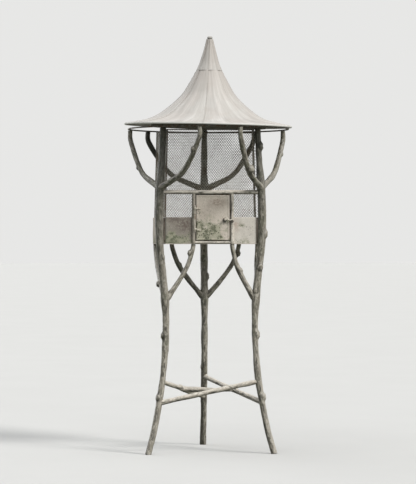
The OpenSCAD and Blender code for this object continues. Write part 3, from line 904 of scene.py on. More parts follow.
class Finishes:
    """All finishes of the aviary, each built once."""

    def __init__(self) -> None:
        """Builds the materials."""
        self.bark = BarkFinish("bark_coat").material()
        # Copies of the bark with more painted shade: the left trunk's darkens from lower down and more
        # strongly, and the back limbs' is darker all over.
        self.left_bark = BarkFinish("left_bark_coat", shade=0.74, shade_from=0.7, damp_and_shade=0.42).material()
        self.back_bark = BarkFinish(
            "back_bark_coat", pale=(0.31, 0.286, 0.243), body=(0.125, 0.112, 0.086),
            lichen=(0.44, 0.412, 0.357), shade=0.8, damp_and_shade=0.78, painted_light=0.6
        ).material()
        # Lighter copies with less painted shade, for the upper branches of the left and right legs.
        self.left_high = BarkFinish("left_high_coat", shade=0.22, damp_and_shade=0.26).material()
        self.right_high = BarkFinish("right_high_coat", shade=0.16, damp_and_shade=0.36).material()
        self.stretcher = BarkFinish(
            "stretcher_coat", pale=(0.66, 0.605, 0.53), body=(0.42, 0.376, 0.31), lichen=(0.74, 0.70, 0.62),
            algae_cover=0.25, lichen_cover=0.34, mottle=0.45
        ).material()
        self.bar = BarkFinish(
            "rail_coat", pale=(0.74, 0.685, 0.605), body=(0.46, 0.413, 0.345), lichen=(0.80, 0.75, 0.675),
            algae_cover=0.2, lichen_cover=0.42, shade=0.0, mottle=0.3, damp_and_shade=0.55
        ).material()
        # The left jamb's coat, a darker copy of the rail's, is partly its browner colour and partly painted
        # shade.
        self.jamb = BarkFinish(
            "jamb_coat", pale=(0.44, 0.40, 0.345), body=(0.26, 0.23, 0.188), lichen=(0.50, 0.46, 0.40),
            algae_cover=0.3, lichen_cover=0.4, shade=0.0, mottle=0.35, damp_and_shade=0.5
        ).material()
        self.roof = RoofFinish("roof_paint").material()
        # The cap's seam layer paints painted shade round the cap's foot.
        self.cap = RoofFinish(
            "cap_paint", base=(0.42, 0.40, 0.375), pale=(0.52, 0.505, 0.48), blush=(0.40, 0.38, 0.36),
            seam=0.95
        ).material()
        self.door = SheetFinish("door_paint").material()
        self.left_apron = SheetFinish(
            "left_apron_paint", base=(0.235, 0.212, 0.18), pale=(0.40, 0.367, 0.32),
            rust=(0.10, 0.07, 0.058), shift=(0.31, 0.0, 0.12)
        ).material()
        self.right_apron = SheetFinish(
            "right_apron_paint", base=(0.58, 0.536, 0.48), pale=(0.74, 0.70, 0.64),
            rust=(0.44, 0.32, 0.265), shift=(0.0, 0.27, 0.4)
        ).material()
        self.side_apron = SheetFinish(
            "side_apron_paint", base=(0.36, 0.325, 0.28), shift=(0.6, 0.2, 0.0)
        ).material()
        self.netting = MetalFinish(
            "netting_wire", base=(0.30, 0.285, 0.235), worn=(0.42, 0.40, 0.34), rust=(0.20, 0.14, 0.09),
            rust_cover=0.42, scale=14.0
        ).material()
        self.iron = MetalFinish("dark_iron_rod").material()
        self.bright_iron = MetalFinish(
            "worn_iron", base=(0.62, 0.57, 0.49), worn=(0.78, 0.73, 0.64), rust=(0.30, 0.20, 0.13),
            rust_cover=0.22, metallic=0.0
        ).material()
        self.planks = PlankFinish("ceiling_planks").material()


def make_piece(name: str, surface: Surface, material: Material, nodes: Sequence[str] = (),
               body: Body = Body.ROOT, sharp_deg: float = 40.0) -> None:
    """Makes a surface an object of the scene that rides on a body.

    Args:
        name: the piece's name.
        surface: its mesh.
        material: its finish.
        nodes: the frame's nodes that it stands for.
        body: what it moves with.
        sharp_deg: faces that meet at a larger angle keep a sharp edge.
    """
    mesh = bpy.data.meshes.new(name)
    quads, tris = surface.quads, surface.tris
    mesh.vertices.add(len(surface.points))
    mesh.vertices.foreach_set("co", surface.points.astype(np.float32).ravel())
    mesh.loops.add(quads.size + tris.size)
    mesh.loops.foreach_set("vertex_index", np.concatenate([quads.ravel(), tris.ravel()]).astype(np.int32))
    mesh.polygons.add(len(quads) + len(tris))
    starts = np.concatenate([np.arange(len(quads)) * 4, quads.size + np.arange(len(tris)) * 3])
    mesh.polygons.foreach_set("loop_start", starts.astype(np.int32))
    mesh.polygons.foreach_set("use_smooth", np.ones(len(starts), bool))
    for key, values in surface.values.items():
        kind, field_name = ("FLOAT_VECTOR", "vector") if values.shape[1] == 3 else ("FLOAT", "value")
        attribute = mesh.attributes.new(key, kind, "POINT")
        attribute.data.foreach_set(field_name, values.astype(np.float32).ravel())
    mesh.update(calc_edges=True)
    mesh.validate()
    mesh.set_sharp_from_angle(angle=math.radians(sharp_deg))
    mesh.materials.append(material)
    piece = bpy.data.objects.new(name, mesh)
    bpy.context.scene.collection.objects.link(piece)
    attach(piece, body.value)
    if nodes:
        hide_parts(*nodes)
    LOG.info("%s: %d points, %d faces, on %s", name, len(surface.points), len(starts), body.value)


def dress_node(node: str, material: Material) -> None:
    """Gives a node of the frame, whose shape is right as it is, its finish.

    Args:
        node: the node.
        material: its finish.
    """
    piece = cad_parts[node]
    piece.data.materials.clear()
    piece.data.materials.append(material)
    LOG.info("%s: the frame's own solid", node)


@dataclass(frozen=True)
class Stain:
    """Soft stain on a sheet, in shares of its width and height.

    It is strength exp(-a^2 - b^2), where a = (u - across) / width and b = (t - up) / height.
    """

    across: float
    up: float
    width: float
    height: float
    strength: float

    def at(self, u: Array, t: Array) -> Array:
        """Strength of the stain at shares of the sheet's width and height."""
        away = ((u - self.across) / self.width) ** 2 + ((t - self.up) / self.height) ** 2
        return self.strength * np.exp(-away)


@dataclass(frozen=True)
class Weather:
    """Where a sheet is damp, where rust bleeds through its paint, and where painted shade darkens its edges
    and foot.
    """

    damp_and_shade: tuple[Stain, ...] = (Stain(0.5, 0.0, 2.0, 0.4, 0.55),)
    bleed: tuple[Stain, ...] = (Stain(0.5, 0.6, 0.8, 0.5, 0.35),)
    # Painted shade: a dark band along the foot.
    painted_shade: tuple[Stain, ...] = (Stain(0.5, 0.0, 2.0, 0.05, 0.3),)

    def values(self, u: Array, t: Array) -> dict[str, Array]:
        """Damp, bleed and painted shade at shares of the sheet's width and height, none above one."""
        kinds = {"damp_and_shade": self.damp_and_shade, "bleed": self.bleed, "painted_shade": self.painted_shade}
        return {key: np.clip(sum(stain.at(u, t) for stain in kind), 0.0, 1.0) for key, kind in kinds.items()}


@dataclass(frozen=True)
class Knot:
    """A knot on a limb.

    It holds the share of the limb's rise, the plan direction it faces, its width and height as shares of the
    limb's radius, and how far it faces upwards.
    """

    rise_share: float
    plan_deg: float
    width_share: float = 0.75
    height_share: float = 0.45
    lift_deg: float = 0.0

    def way(self) -> Array:
        """Direction that it faces."""
        lift = math.radians(self.lift_deg)
        return plan_way(self.plan_deg) * math.cos(lift) + UP * math.sin(lift)

    def hump(self, distance: Array) -> Array:
        """Its form over the distance d in knot widths: exp(-d^3) with a dimple, 0.33 exp(-6 d^2)."""
        return np.exp(-distance**3) - 0.33 * np.exp(-6.0 * distance**2)

    def mark(self, distance: Array) -> Array:
        """What it adds to the bark's relief, shown as painted light and shade: a crown, 0.5 exp(-d^4), with a
        furrow round it at d = 1.15.
        """
        return 0.5 * np.exp(-distance**4) - 0.9 * np.exp(-((distance - 1.15) / 0.3) ** 2)


@dataclass(frozen=True)
class Bark:
    """Relief of a branch-form limb.

    radius(s, a) = thickness / 2 + lumps + ridges + knots, where s runs along the limb and a round it. Lumps
    and ridges are noise on (r cos a, r sin a, s), drawn out along s. A ridge is 1 - fold |noise|.
    """

    ridge_depth: float = 0.0013
    lump_depth: float = 0.0024
    sides: int = 44
    spacing: float = 0.0045
    ridge_fold: float = 2.4
    ridge_share: float = 0.68
    lump_scale: Triple = (22.0, 22.0, 11.0)
    ridge_scale: Triple = (125.0, 125.0, 19.0)
    fine_scale: Triple = (330.0, 330.0, 90.0)
    # Direction of the painted light: the bark paint lightens faces turned towards it and darkens faces turned
    # away.
    painted_light_way: Triple = (0.6, -0.12, 0.79)

    def limb(self, line: Array, side: Array, seed: float, knots: Sequence[Knot] = (),
             low: float = -math.inf, high: float = math.inf) -> Surface:
        """Skin of one limb.

        Args:
            line: its middle line and thickness, four numbers a row.
            side: a direction that the line never runs along.
            seed: moves the noise, so that no two limbs are alike.
            knots: knots on it.
            low: height below which it is cut off level.
            high: height above which it is cut off level.

        Returns:
            The closed skin, with its grain coordinates, its relief and how far it faces the direction of the
            painted light.
        """
        line = resample(line, self.spacing)
        centre, radius = line[:, :3], line[:, 3:] / 2
        across, beyond = path_frames(centre, side)
        along = self.spacing * np.arange(len(line))[:, None]
        angle = even_turns(self.sides)[None]
        grain = stacked(radius * np.cos(angle), radius * np.sin(angle), along) + UP * seed
        ridges = 1.0 - self.ridge_fold * np.abs(NOISE.at(grain * self.ridge_scale))
        fine = NOISE.at(grain * self.fine_scale)
        relief = self.ridge_share * ridges + (1.0 - self.ridge_share) * fine
        reach = radius + self.lump_depth * NOISE.at(grain * self.lump_scale) + self.ridge_depth * relief
        for knot in knots:
            height = centre[0, 2] + knot.rise_share * (centre[-1, 2] - centre[0, 2])
            i = int(np.argmin(np.abs(centre[:, 2] - height)))
            way = knot.way()
            facing = math.atan2(way @ beyond[i], way @ across[i])
            turn = (angle - facing + math.pi) % FULL_TURN - math.pi
            width = knot.width_share * radius[i, 0]
            distance = np.hypot(turn * radius, along - along[i]) / width
            reach = reach + knot.height_share * radius[i, 0] * knot.hump(distance)
            relief = relief + knot.mark(distance)
        rings = across[:, None] * np.cos(angle)[..., None] + beyond[:, None] * np.sin(angle)[..., None]
        points = centre[:, None] + rings * reach[..., None]
        points[..., 2] = np.clip(points[..., 2], low, high)
        return tube(points, {"grain": grain, "relief": relief, "facing": rings @ np.array(self.painted_light_way)})


@dataclass(frozen=True)
class BranchForm:
    """What the branches of one tier share: fork, thickness, course, and the knots of each leg's two branches.

    A knot holds its share of the rise, its turn from the branch's direction in degrees, and its height as a
    share of the branch's radius.
    """

    fork_z: float
    fork_d: float
    tip_d: float
    seed: float
    course_shares: Shares
    knots: dict[Leg, tuple[Triple, Triple]]


@dataclass
class Legs:
    """Three bent trunks with their forks, and the stretchers between them."""

    finishes: Finishes
    foot_r: float = 0.424
    waist_r: float = 0.300
    waist_z: float = 0.720
    cage_r: float = 0.346
    cage_z: float = 1.400
    top_r: float = 0.318
    foot_d: float = 0.036
    waist_d: float = 0.038
    cage_d: float = 0.046
    top_d: float = 0.034
    hoop_r: float = 0.470
    stretcher_d: float = 0.029
    stretcher_low_z: float = 0.296
    stretcher_high_z: float = 0.419
    stretcher_taper_share: float = 0.97
    stretcher_points: int = 60
    bow: float = 0.004
    bow_turns: float = 7.0
    bow_shift: float = 3.0
    twig_d: float = 0.036
    twig_tip_d: float = 0.015
    twig_left_share: float = 0.51
    twig_right_share: float = 0.455
    swell: float = 0.004
    swell_reach: float = 0.060
    flare: float = 0.009
    flare_reach: float = 0.055
    knot_width: float = 0.6
    knot_spread: float = 0.5
    left_side_tip: Band = (-0.2971, 0.2726)
    right_side_tip: Band = (0.2892, 0.0083)
    back_tips_x: Band = (-0.198, 0.207)
    trunk_seed_step: float = 5.3
    leg_seed_step: float = 4.1
    branch_seed_step: float = 1.7
    stretcher_seed: float = 60.0
    stretcher_seed_step: float = 3.3
    twig_seed: float = 75.0
    bend_shares: tuple[Shares, Shares, Shares] = (
        ((0, 0), (0.19, 0.34), (0.45, 0.67), (0.71, 0.895)),
        ((0, 0), (0.26, 0.13), (0.5, 0.5), (0.735, 0.913)),
        ((0, 0), (0.28, 0.18), (0.6, 0.643), (1, 1)),
    )
    low: BranchForm = BranchForm(
        fork_z=0.895, fork_d=0.031, tip_d=0.026, seed=20.0,
        course_shares=((0, 0), (0.13, 0.07), (0.52, 0.36), (0.8, 0.62), (0.96, 0.88), (1, 1)),
        knots={
            Leg.LEFT: ((0.84, 180, 1.1), (0.27, 85, 1.15)),
            Leg.RIGHT: ((0.4, 0, 0.4), (0.52, 180, 0.6)),
            Leg.BACK: ((0.6, 180, 0.4), (0.82, 0, 1.0)),
        },
    )
    high: BranchForm = BranchForm(
        fork_z=1.545, fork_d=0.033, tip_d=0.027, seed=40.0,
        course_shares=((0, 0), (0.29, 0.11), (0.575, 0.25), (0.77, 0.47), (0.92, 0.7), (1, 0.86), (1, 1)),
        knots={
            Leg.LEFT: ((0.63, -110, 0.8), (0.37, 0, 0.65)),
            Leg.RIGHT: ((0.6, -40, 0.5), (0.3, 105, 1.5)),
            Leg.BACK: ((0.45, 0, 0.45), (0.5, 0, 0.45)),
        },
    )
    high_turns: dict[Leg, Band] = field(default_factory=lambda: {
        Leg.LEFT: (49.5, -45.0), Leg.RIGHT: (45.0, -41.5), Leg.BACK: (46.0, -40.0),
    })
    trunk_knots: dict[Leg, tuple[Knot, ...]] = field(default_factory=lambda: {
        Leg.LEFT: (Knot(0.36, 180, 0.95, 0.62), Knot(0.172, 200, 1.0, 0.45), Knot(0.6, 320, 0.6, 0.25)),
        Leg.RIGHT: (Knot(0.945, 350, 1.2, 0.75), Knot(0.676, 0, 1.0, 0.62), Knot(0.574, 290, 0.85, 0.4),
                    Knot(0.366, 350, 1.1, 0.75), Knot(0.172, 345, 1.1, 0.7), Knot(0.5, 250, 0.6, 0.25)),
        Leg.BACK: (Knot(0.536, 350, 0.9, 0.6), Knot(0.25, 200, 0.7, 0.25)),
    })
    stretcher_knots: dict[str, tuple[Knot, ...]] = field(default_factory=lambda: {
        "front_stretcher": (Knot(0.19, 270, 0.9, 0.35, 40), Knot(0.72, 270, 0.7, 0.25, 60)),
        "right_stretcher": (Knot(0.44, 0, 0.9, 0.4, 70), Knot(0.98, 0, 0.9, 0.4, 60)),
        "left_stretcher": (Knot(0.6, 270, 1.1, 0.6, 70),),
    })
    bark: Bark = Bark()
    branch_bark: Bark = Bark(ridge_depth=0.0010, lump_depth=0.0020, sides=34)

    def trunk_line(self, leg: Leg) -> Array:
        """Middle line of a trunk: three stretches of radius over height, smoothed, in the leg's direction.

        Args:
            leg: the leg.

        Returns:
            Places and thickness, four numbers a row, from the foot up.
        """
        top = ends(f"{leg.label}_trunk")[1][2]
        marks = np.array([
            (self.foot_r, 0.0, self.foot_d), (self.waist_r, self.waist_z, self.waist_d),
            (self.cage_r, self.cage_z, self.cage_d), (self.top_r, top, self.top_d),
        ])
        curve = catmull_rom(np.vstack([
            low + (high - low) * np.array(shares, float)[:, [1, 0, 0]]
            for shares, low, high in zip(self.bend_shares, marks, marks[1:])
        ]))
        return np.column_stack([curve[:, :1] * plan_way(leg.value)[:2], curve[:, 1:]])

    def trunk_point(self, leg: Leg, height: float) -> Array:
        """Middle of a trunk at a height."""
        line = self.trunk_line(leg)
        return np.array([np.interp(height, line[:, 2], line[:, axis]) for axis in range(3)])

    def course(self, start: Array, tip: Array, form: BranchForm) -> Array:
        """Middle line of a branch: shares of its level run and of its rise, flared where it leaves the trunk.

        Args:
            start: the fork, at the trunk's middle.
            tip: where it ends.
            form: its tier's form.

        Returns:
            Places and thickness, four numbers a row.
        """
        shares = np.array(form.course_shares, float)[:, [0, 0, 1, 1]]
        foot, head = np.append(start, form.fork_d), np.append(tip, form.tip_d)
        line = catmull_rom(foot + (head - foot) * shares)
        away = np.linalg.norm(line[:, :3] - start, axis=1)
        line[:, 3] += self.flare * np.exp(-((away / self.flare_reach) ** 2))
        return line

    def build(self) -> None:
        """Makes the trunks, branches and stretchers."""
        finishes = self.finishes
        back = finishes.back_bark
        self.build_trunks()
        low_coats = {Leg.LEFT: finishes.bark, Leg.RIGHT: finishes.bark, Leg.BACK: back}
        self.build_branches(Tier.LOW, self.low, self.low_tips(), low_coats)
        high_coats = {Leg.LEFT: finishes.left_high, Leg.RIGHT: finishes.right_high, Leg.BACK: back}
        self.build_branches(Tier.HIGH, self.high, self.high_tips(), high_coats)
        self.build_stretchers()

    def build_trunks(self) -> None:
        """Makes the three trunks, swollen at their forks."""
        coats = (self.finishes.left_bark, self.finishes.bark, self.finishes.back_bark)
        for count, (leg, coat) in enumerate(zip(Leg, coats)):
            node = f"{leg.label}_trunk"
            line = self.trunk_line(leg)
            for form in (self.low, self.high):
                away = (line[:, 2] - form.fork_z) / self.swell_reach
                line[:, 3] += 2 * self.swell * np.exp(-(away**2))
            skin = self.bark.limb(line, plan_way(leg.value + 90), self.trunk_seed_step * count,
                                  self.trunk_knots[leg], 0.0, ends(node)[1][2])
            make_piece(f"bark_{node}", skin, coat, [node])

    def low_tips(self) -> dict[Leg, list[Array]]:
        """Where the lower branches meet the cage floor.

        Returns:
            Two places for each leg.
        """
        low, high = ends("cage_floor")
        front, back = low[1] + self.low.tip_d / 2, high[1] - self.low.tip_d / 2
        plans = {
            Leg.LEFT: ((middle("left_jamb")[0], front), self.left_side_tip),
            Leg.RIGHT: (self.right_side_tip, (middle("right_jamb")[0], front)),
            Leg.BACK: tuple((x, back) for x in self.back_tips_x),
        }
        return {leg: [np.array([x, y, low[2]]) for x, y in plan] for leg, plan in plans.items()}

    def high_tips(self) -> dict[Leg, list[Array]]:
        """Where the upper branches meet the hoop."""
        foot = UP * ends("hoop")[0][2]
        return {leg: [plan_way(leg.value + turn) * self.hoop_r + foot for turn in self.high_turns[leg]]
                for leg in Leg}

    def build_branches(self, tier: Tier, form: BranchForm, tips: dict[Leg, list[Array]],
                       coats: dict[Leg, Material]) -> None:
        """Makes each leg's two branches of one tier as one piece.

        Args:
            tier: which tier.
            form: what its branches share.
            tips: where each leg's two branches end.
            coats: the finish for each leg.
        """
        for count, leg in enumerate(Leg):
            node = f"{leg.label}_{tier.value}_branches"
            start = self.trunk_point(leg, form.fork_z)
            skins = []
            for k, (tip, (share, turn, lift)) in enumerate(zip(tips[leg], form.knots[leg])):
                way = math.degrees(math.atan2(tip[1] - start[1], tip[0] - start[0]))
                knot = Knot(share, way + turn, self.knot_width + self.knot_spread * lift, lift)
                seed = form.seed + self.leg_seed_step * count + self.branch_seed_step * k
                line = self.course(start, tip, form)
                skins.append(self.branch_bark.limb(line, plan_way(way + 90), seed, [knot], high=tip[2]))
            make_piece(f"bark_{node}", joined(skins), coats[leg], [node])

    def straight_limb(self, low: Array, high: Array, thickness: Band, seed: float,
                      knots: Sequence[Knot] = ()) -> Surface:
        """Skin of a stretcher, gently bowed out of line by sin(pi t) sin(turns t + shift x).

        Args:
            low: where it starts.
            high: where it ends.
            thickness: at its start and at its end.
            seed: moves the bark's noise.
            knots: knots on it.

        Returns:
            The closed skin.
        """
        share = np.linspace(0.0, 1.0, self.stretcher_points)[:, None]
        side = unit(np.cross(high - low, UP))
        wave = np.sin(math.pi * share) * np.sin(self.bow_turns * share + self.bow_shift * low[:1])
        bowed = low + (high - low) * share + self.bow * wave * np.cross(unit(high - low), UP)
        line = np.column_stack([bowed, thickness[0] + (thickness[1] - thickness[0]) * share])
        return self.branch_bark.limb(line, side, seed, knots)

    def build_stretchers(self) -> None:
        """Makes the three slanting stretchers and the tapered twig between the two back ones."""
        legs = {
            "front_stretcher": (Leg.LEFT, Leg.RIGHT),
            "right_stretcher": (Leg.RIGHT, Leg.BACK),
            "left_stretcher": (Leg.BACK, Leg.LEFT),
        }
        places = {
            node: (self.trunk_point(low, self.stretcher_low_z), self.trunk_point(high, self.stretcher_high_z))
            for node, (low, high) in legs.items()
        }
        thickness = (self.stretcher_d, self.stretcher_d * self.stretcher_taper_share)
        skins = {}
        for count, (node, (low, high)) in enumerate(places.items()):
            seed = self.stretcher_seed + self.stretcher_seed_step * count
            skins[node] = self.straight_limb(low, high, thickness, seed, self.stretcher_knots[node])
        (back_low, left_high), (right_low, back_high) = places["left_stretcher"], places["right_stretcher"]
        start = back_low + (left_high - back_low) * self.twig_left_share
        end = right_low + (back_high - right_low) * self.twig_right_share
        taper = (self.twig_d, self.twig_tip_d)
        skins["stretcher_twig"] = self.straight_limb(start, end, taper, self.twig_seed)
        for node, skin in skins.items():
            make_piece(f"bark_{node}", skin, self.finishes.stretcher, [node])


@dataclass
class Roof:
    """Flared round roof of lapped gores, with its collar, cap, rivets and the hoop below it."""

    finishes: Finishes
    eave_r: float = 0.490
    rim_h: float = 0.012
    rim_points: int = 9
    rim_reach: float = 0.08
    eave_z: float = 1.909
    height: float = 0.519
    shift_x: float = -0.002
    bead: float = 0.0035
    sheet_t: float = 0.002
    lean_deg: float = 1.5
    lean_towards_deg: float = -45.0
    lean_z: float = 1.900
    gores: int = 8
    gore_margin: float = 0.03
    gore_points: int = 17
    seam_steps: Band = (0.006, 0.014)
    first_seam_deg: float = -98.0
    seam_w: float = 0.0035
    lap_h: float = 0.0032
    flat_share: float = 0.007
    dent: float = 0.0012
    dent_scale: Triple = (14.0, 14.0, 9.0)
    grain_r: float = 0.3
    sharp_deg: float = 30.0
    collar_row: int = 8
    collar_lap: int = 3
    collar_gap: float = 0.0012
    collar_rise: float = 0.6
    trim_rise: float = 0.3
    steps: int = 8
    outline_shares: Shares = (
        (1, 0), (0.751, 0.042), (0.608, 0.098), (0.492, 0.175), (0.393, 0.256), (0.308, 0.344),
        (0.242, 0.447), (0.178, 0.556), (0.135, 0.637), (0.098, 0.719), (0.055, 0.856), (0.027, 0.9625),
    )
    cap_shares: Shares = (
        (0.84, 0.0), (0.80, 0.10), (0.90, 0.22), (1.0, 0.42), (0.93, 0.66), (0.66, 0.87), (0.25, 0.98),
    )
    cap_steps: int = 6
    cap_sides: int = 32
    foot_shade_at: float = 0.08
    foot_shade_w: float = 0.12
    rivet_d: float = 0.0055
    rivet_h: float = 0.0016
    rivet_gap: float = 0.034
    rivet_turn: float = 0.012
    rivet_sides: int = 8
    rivet_relief: float = 0.25
    rivet_shares: Shares = ((1.0, -0.4), (0.9, 0.35), (0.5, 0.8))
    hoop_points: int = 160
    hoop_sides: int = 10
    hoop_waver: float = 0.0015
    hoop_waver_turn: float = 0.6
    hoop_ripple: float = 0.001

    def askew(self, points: Array) -> Array:
        """Leans points about the middle of the ceiling board's underside, and moves them to the roof's place.

        A turn by the angle a about the level axis k: p cos a + (k x p) sin a + k (k . p) (1 - cos a).

        Args:
            points: places on the upright roof.

        Returns:
            The places where they belong.
        """
        axis = plan_way(self.lean_towards_deg + 90.0)
        lean = math.radians(self.lean_deg)
        arm = points - UP * self.lean_z
        fixed = (arm @ axis)[..., None] * axis * (1.0 - math.cos(lean))
        leant = arm * math.cos(lean) + np.cross(axis, arm) * math.sin(lean) + fixed
        return leant + UP * self.lean_z + X_WAY * self.shift_x

    def outline(self) -> Array:
        """The roof's outline as radius and height, smoothed through its shares."""
        rows = np.array(self.outline_shares, float) * (self.eave_r, self.height)
        return catmull_rom(rows + (0.0, self.eave_z + self.rim_h), self.steps)

    def gore_turns(self) -> tuple[Array, Array]:
        """Places round the roof, closer at the seams.

        Returns:
            Their plan angles, and the share of its gore at which each lies.
        """
        near = np.array(self.seam_steps)
        inner = np.linspace(self.gore_margin, 1.0 - self.gore_margin, self.gore_points)
        shares = np.concatenate([[0.0], near, inner, 1.0 - near[::-1]])
        gore = np.arange(self.gores)[:, None]
        angles = math.radians(self.first_seam_deg) + (gore + shares) * FULL_TURN / self.gores
        return angles.ravel(), np.tile(shares, self.gores)

    def shell(self, outer: Array, lift: float, low_rise: float = 0.0) -> Surface:
        """Sheet turned about the roof's axis, made of lapped gores.

        radius and height = outline + normal (lift + e (lap p - flat r 4 p (1 - p) + dents)), where p is the
        share of the gore and e rises from 0 at the lower edge to 1. The same outline, moved in by the
        thickness, closes the sheet.

        Args:
            outer: outline of its outer face, from its lower edge up.
            lift: how far it lies over the outline.
            low_rise: rise at its lower edge, as a share; at its upper edge the rise is 1.

        Returns:
            The closed shell, with slope coordinates, rise and seam mask.
        """
        angle, share = self.gore_turns()
        there = np.arange(len(outer))
        loop = np.concatenate([there, there[::-1]])
        depth = np.repeat([0.0, self.sheet_t], len(outer))[:, None]
        (r, z), (out_r, out_z) = (rows[loop].T[..., None] for rows in (outer, outward_normals(outer)))
        slope = run_along(outer)[loop][:, None]
        grain = stacked(self.grain_r * np.cos(angle), self.grain_r * np.sin(angle), slope)
        dents = self.dent * NOISE.at(grain * self.dent_scale)
        flat = self.flat_share * r * 4 * share * (1 - share)
        out = lift + (self.lap_h * share - flat + dents) * np.clip(slope / self.rim_reach, 0.0, 1.0) - depth
        r = r + out * out_r
        points = self.askew(stacked(r * np.cos(angle), r * np.sin(angle), z + out * out_z))
        near = np.minimum(share, 1.0 - share) * FULL_TURN / self.gores * r
        seam = np.exp(-((near / self.seam_w) ** 2))
        rise = low_rise + (1 - low_rise) * slope / slope.max() + 0 * seam
        return ring_surface(points, {"grain": grain, "relief": seam, "rise": rise})

    def build(self) -> None:
        """Makes the skirt, collar, cap, rivets and hoop, and dresses the board and ring."""
        paint = self.finishes.roof
        line = self.outline()
        seam = self.collar_row * self.steps
        drop = np.linspace(0.0, 1.0, self.rim_points)
        bulge = self.bead * np.sin(math.pi * drop)
        rim = np.column_stack([self.eave_r + bulge, self.eave_z + self.rim_h * drop])
        skirt = self.shell(np.vstack([rim[:-1], line[:seam + 1]]), 0.0)
        make_piece("roof_gores", skirt, paint, ["roof_skirt"], sharp_deg=self.sharp_deg)
        collar = self.shell(line[seam - self.collar_lap:], self.sheet_t + self.collar_gap, self.collar_rise)
        make_piece("roof_top_collar", collar, paint, ["roof_collar"], sharp_deg=self.sharp_deg)
        self.build_cap()
        self.build_rivets()
        self.build_hoop()
        dress_node("ceiling_board", self.finishes.planks)
        dress_node("roof_ring", self.finishes.iron)

    def build_cap(self) -> None:
        """Makes the round cap: a turned profile of a lip, a flattened ball and a point."""
        low, high = ends("roof_cap")
        base = self.lean_z + (low[2] - self.lean_z) / math.cos(math.radians(self.lean_deg))
        shares = catmull_rom(np.array(self.cap_shares), self.cap_steps)
        profile = shares * ((high[0] - low[0]) / 2, high[2] - low[2])
        rings = self.askew(UP * base + turned(profile, UP, X_WAY, self.cap_sides))
        around = turned(np.array([(self.grain_r, 0.0)]), UP, X_WAY, self.cap_sides)
        # Painted shade: a dark band round the cap's foot, carried in its relief.
        foot_shade = np.exp(-(((shares[:, 1:] - self.foot_shade_at) / self.foot_shade_w) ** 2))
        even = np.zeros(rings.shape[:2])
        values = {"grain": around + 0 * rings, "relief": foot_shade + even, "rise": self.trim_rise + even}
        make_piece("roof_tip_cap", tube(rings, values), self.finishes.cap, ["roof_cap"])

    def build_rivets(self) -> None:
        """Makes rivet heads along the gore seams: low turned domes on the sheet."""
        outline = self.outline()
        spots = resample(np.column_stack([outline, np.zeros(len(outline))]), self.rivet_gap)[2:-4, :2]
        profile = np.array(self.rivet_shares) * (self.rivet_d / 2, self.rivet_h)
        domes = []
        for gore in range(self.gores):
            turn = self.first_seam_deg + math.degrees(gore * FULL_TURN / self.gores - self.rivet_turn)
            out, side = plan_way(turn), plan_way(turn + 90.0)
            for (r, z), (out_r, out_z) in zip(spots, outward_normals(spots)):
                up = out_r * out + out_z * UP
                rings = r * out + z * UP + self.lap_h * up + turned(profile, up, side, self.rivet_sides)
                even = np.zeros(rings.shape[:2])
                grain = self.grain_r * (out + UP * z) + 0 * rings
                values = {"grain": grain, "relief": self.rivet_relief + even, "rise": self.trim_rise + even}
                domes.append(tube(self.askew(rings), values))
        make_piece("roof_rivets", joined(domes), self.finishes.roof)

    def build_hoop(self) -> None:
        """Makes the hoop: a ring whose radius wavers by sines of 3 and 7 turns, as a hand-bent rod's does."""
        low, high = ends("hoop")
        half = (high[2] - low[2]) / 2
        angle = even_turns(self.hoop_points)[:, None]
        around = even_turns(self.hoop_sides)
        waver = self.hoop_waver * np.sin(3 * angle + self.hoop_waver_turn)
        r = high[0] - half + waver + self.hoop_ripple * np.sin(7 * angle) + half * np.cos(around)
        z = low[2] + half + half * np.sin(around)
        ring = ring_surface(stacked(r * np.cos(angle), r * np.sin(angle), z))
        make_piece("iron_hoop", ring, self.finishes.iron, ["hoop"])


@dataclass(frozen=True)
class Netting:
    """Twisted wire netting in upright frames.

    Strand k of a sheet lies at column k + (k + j) mod 2 at level j, and runs upright for a short twist there,
    so that neighbours meet in six-sided meshes.
    """

    mesh_w: float = 0.0136
    mesh_h: float = 0.0172
    wire_d: float = 0.0019
    side_wire_d: float = 0.0011
    twist_share: float = 0.36
    weave_share: float = 0.28
    sharp_deg: float = 180.0

    def sheet(self, left: Array, right: Array, wire_d: float) -> Surface:
        """Netting between two upright edges.

        Args:
            left: points up the left edge, evenly spaced from its foot.
            right: as many points up the right edge.
            wire_d: thickness of the wire.

        Returns:
            All its strands as one surface.
        """
        strands = int(round(np.linalg.norm(right - left, axis=1).mean() / (self.mesh_w / 2)))
        levels = int(round(np.linalg.norm(left[-1] - left[0]) / (self.mesh_h / 2)))
        k = np.arange(strands)[:, None, None]
        j = np.arange(levels + 1)[None, :, None]
        twist = self.twist_share * np.array([-0.5, 0.5])
        column = (k + (k + j) % 2) / strands
        level = np.clip((j + twist) / levels, 0.0, 1.0)
        u, v = (grid.reshape(strands, -1) for grid in np.broadcast_arrays(column, level))
        at = np.linspace(0.0, 1.0, len(left))
        start, end = (stacked(*(np.interp(v, at, axis) for axis in edge.T)) for edge in (left, right))
        normal = unit(np.cross(right[0] - left[0], left[-1] - left[0]))
        weave = wire_d * self.weave_share * np.where(k % 2 == 0, 1.0, -1.0)
        path = start + (end - start) * u[..., None] + weave * normal
        across = np.cross(unit(np.gradient(path, axis=1)), normal)
        front = normal + 0 * across
        points = path[:, :, None] + wire_d / 2 * np.stack([across, front, -across, -front], axis=2)
        per = points.shape[1] * 4
        caps = np.array([[3, 2, 1, 0], [per - 4, per - 3, per - 2, per - 1]])
        strand = np.vstack([grid_quads(points.shape[1], 4), caps])
        quads = (strand[None] + (np.arange(strands) * per)[:, None, None]).reshape(-1, 4)
        return Surface(points.reshape(-1, 3), quads).outward()


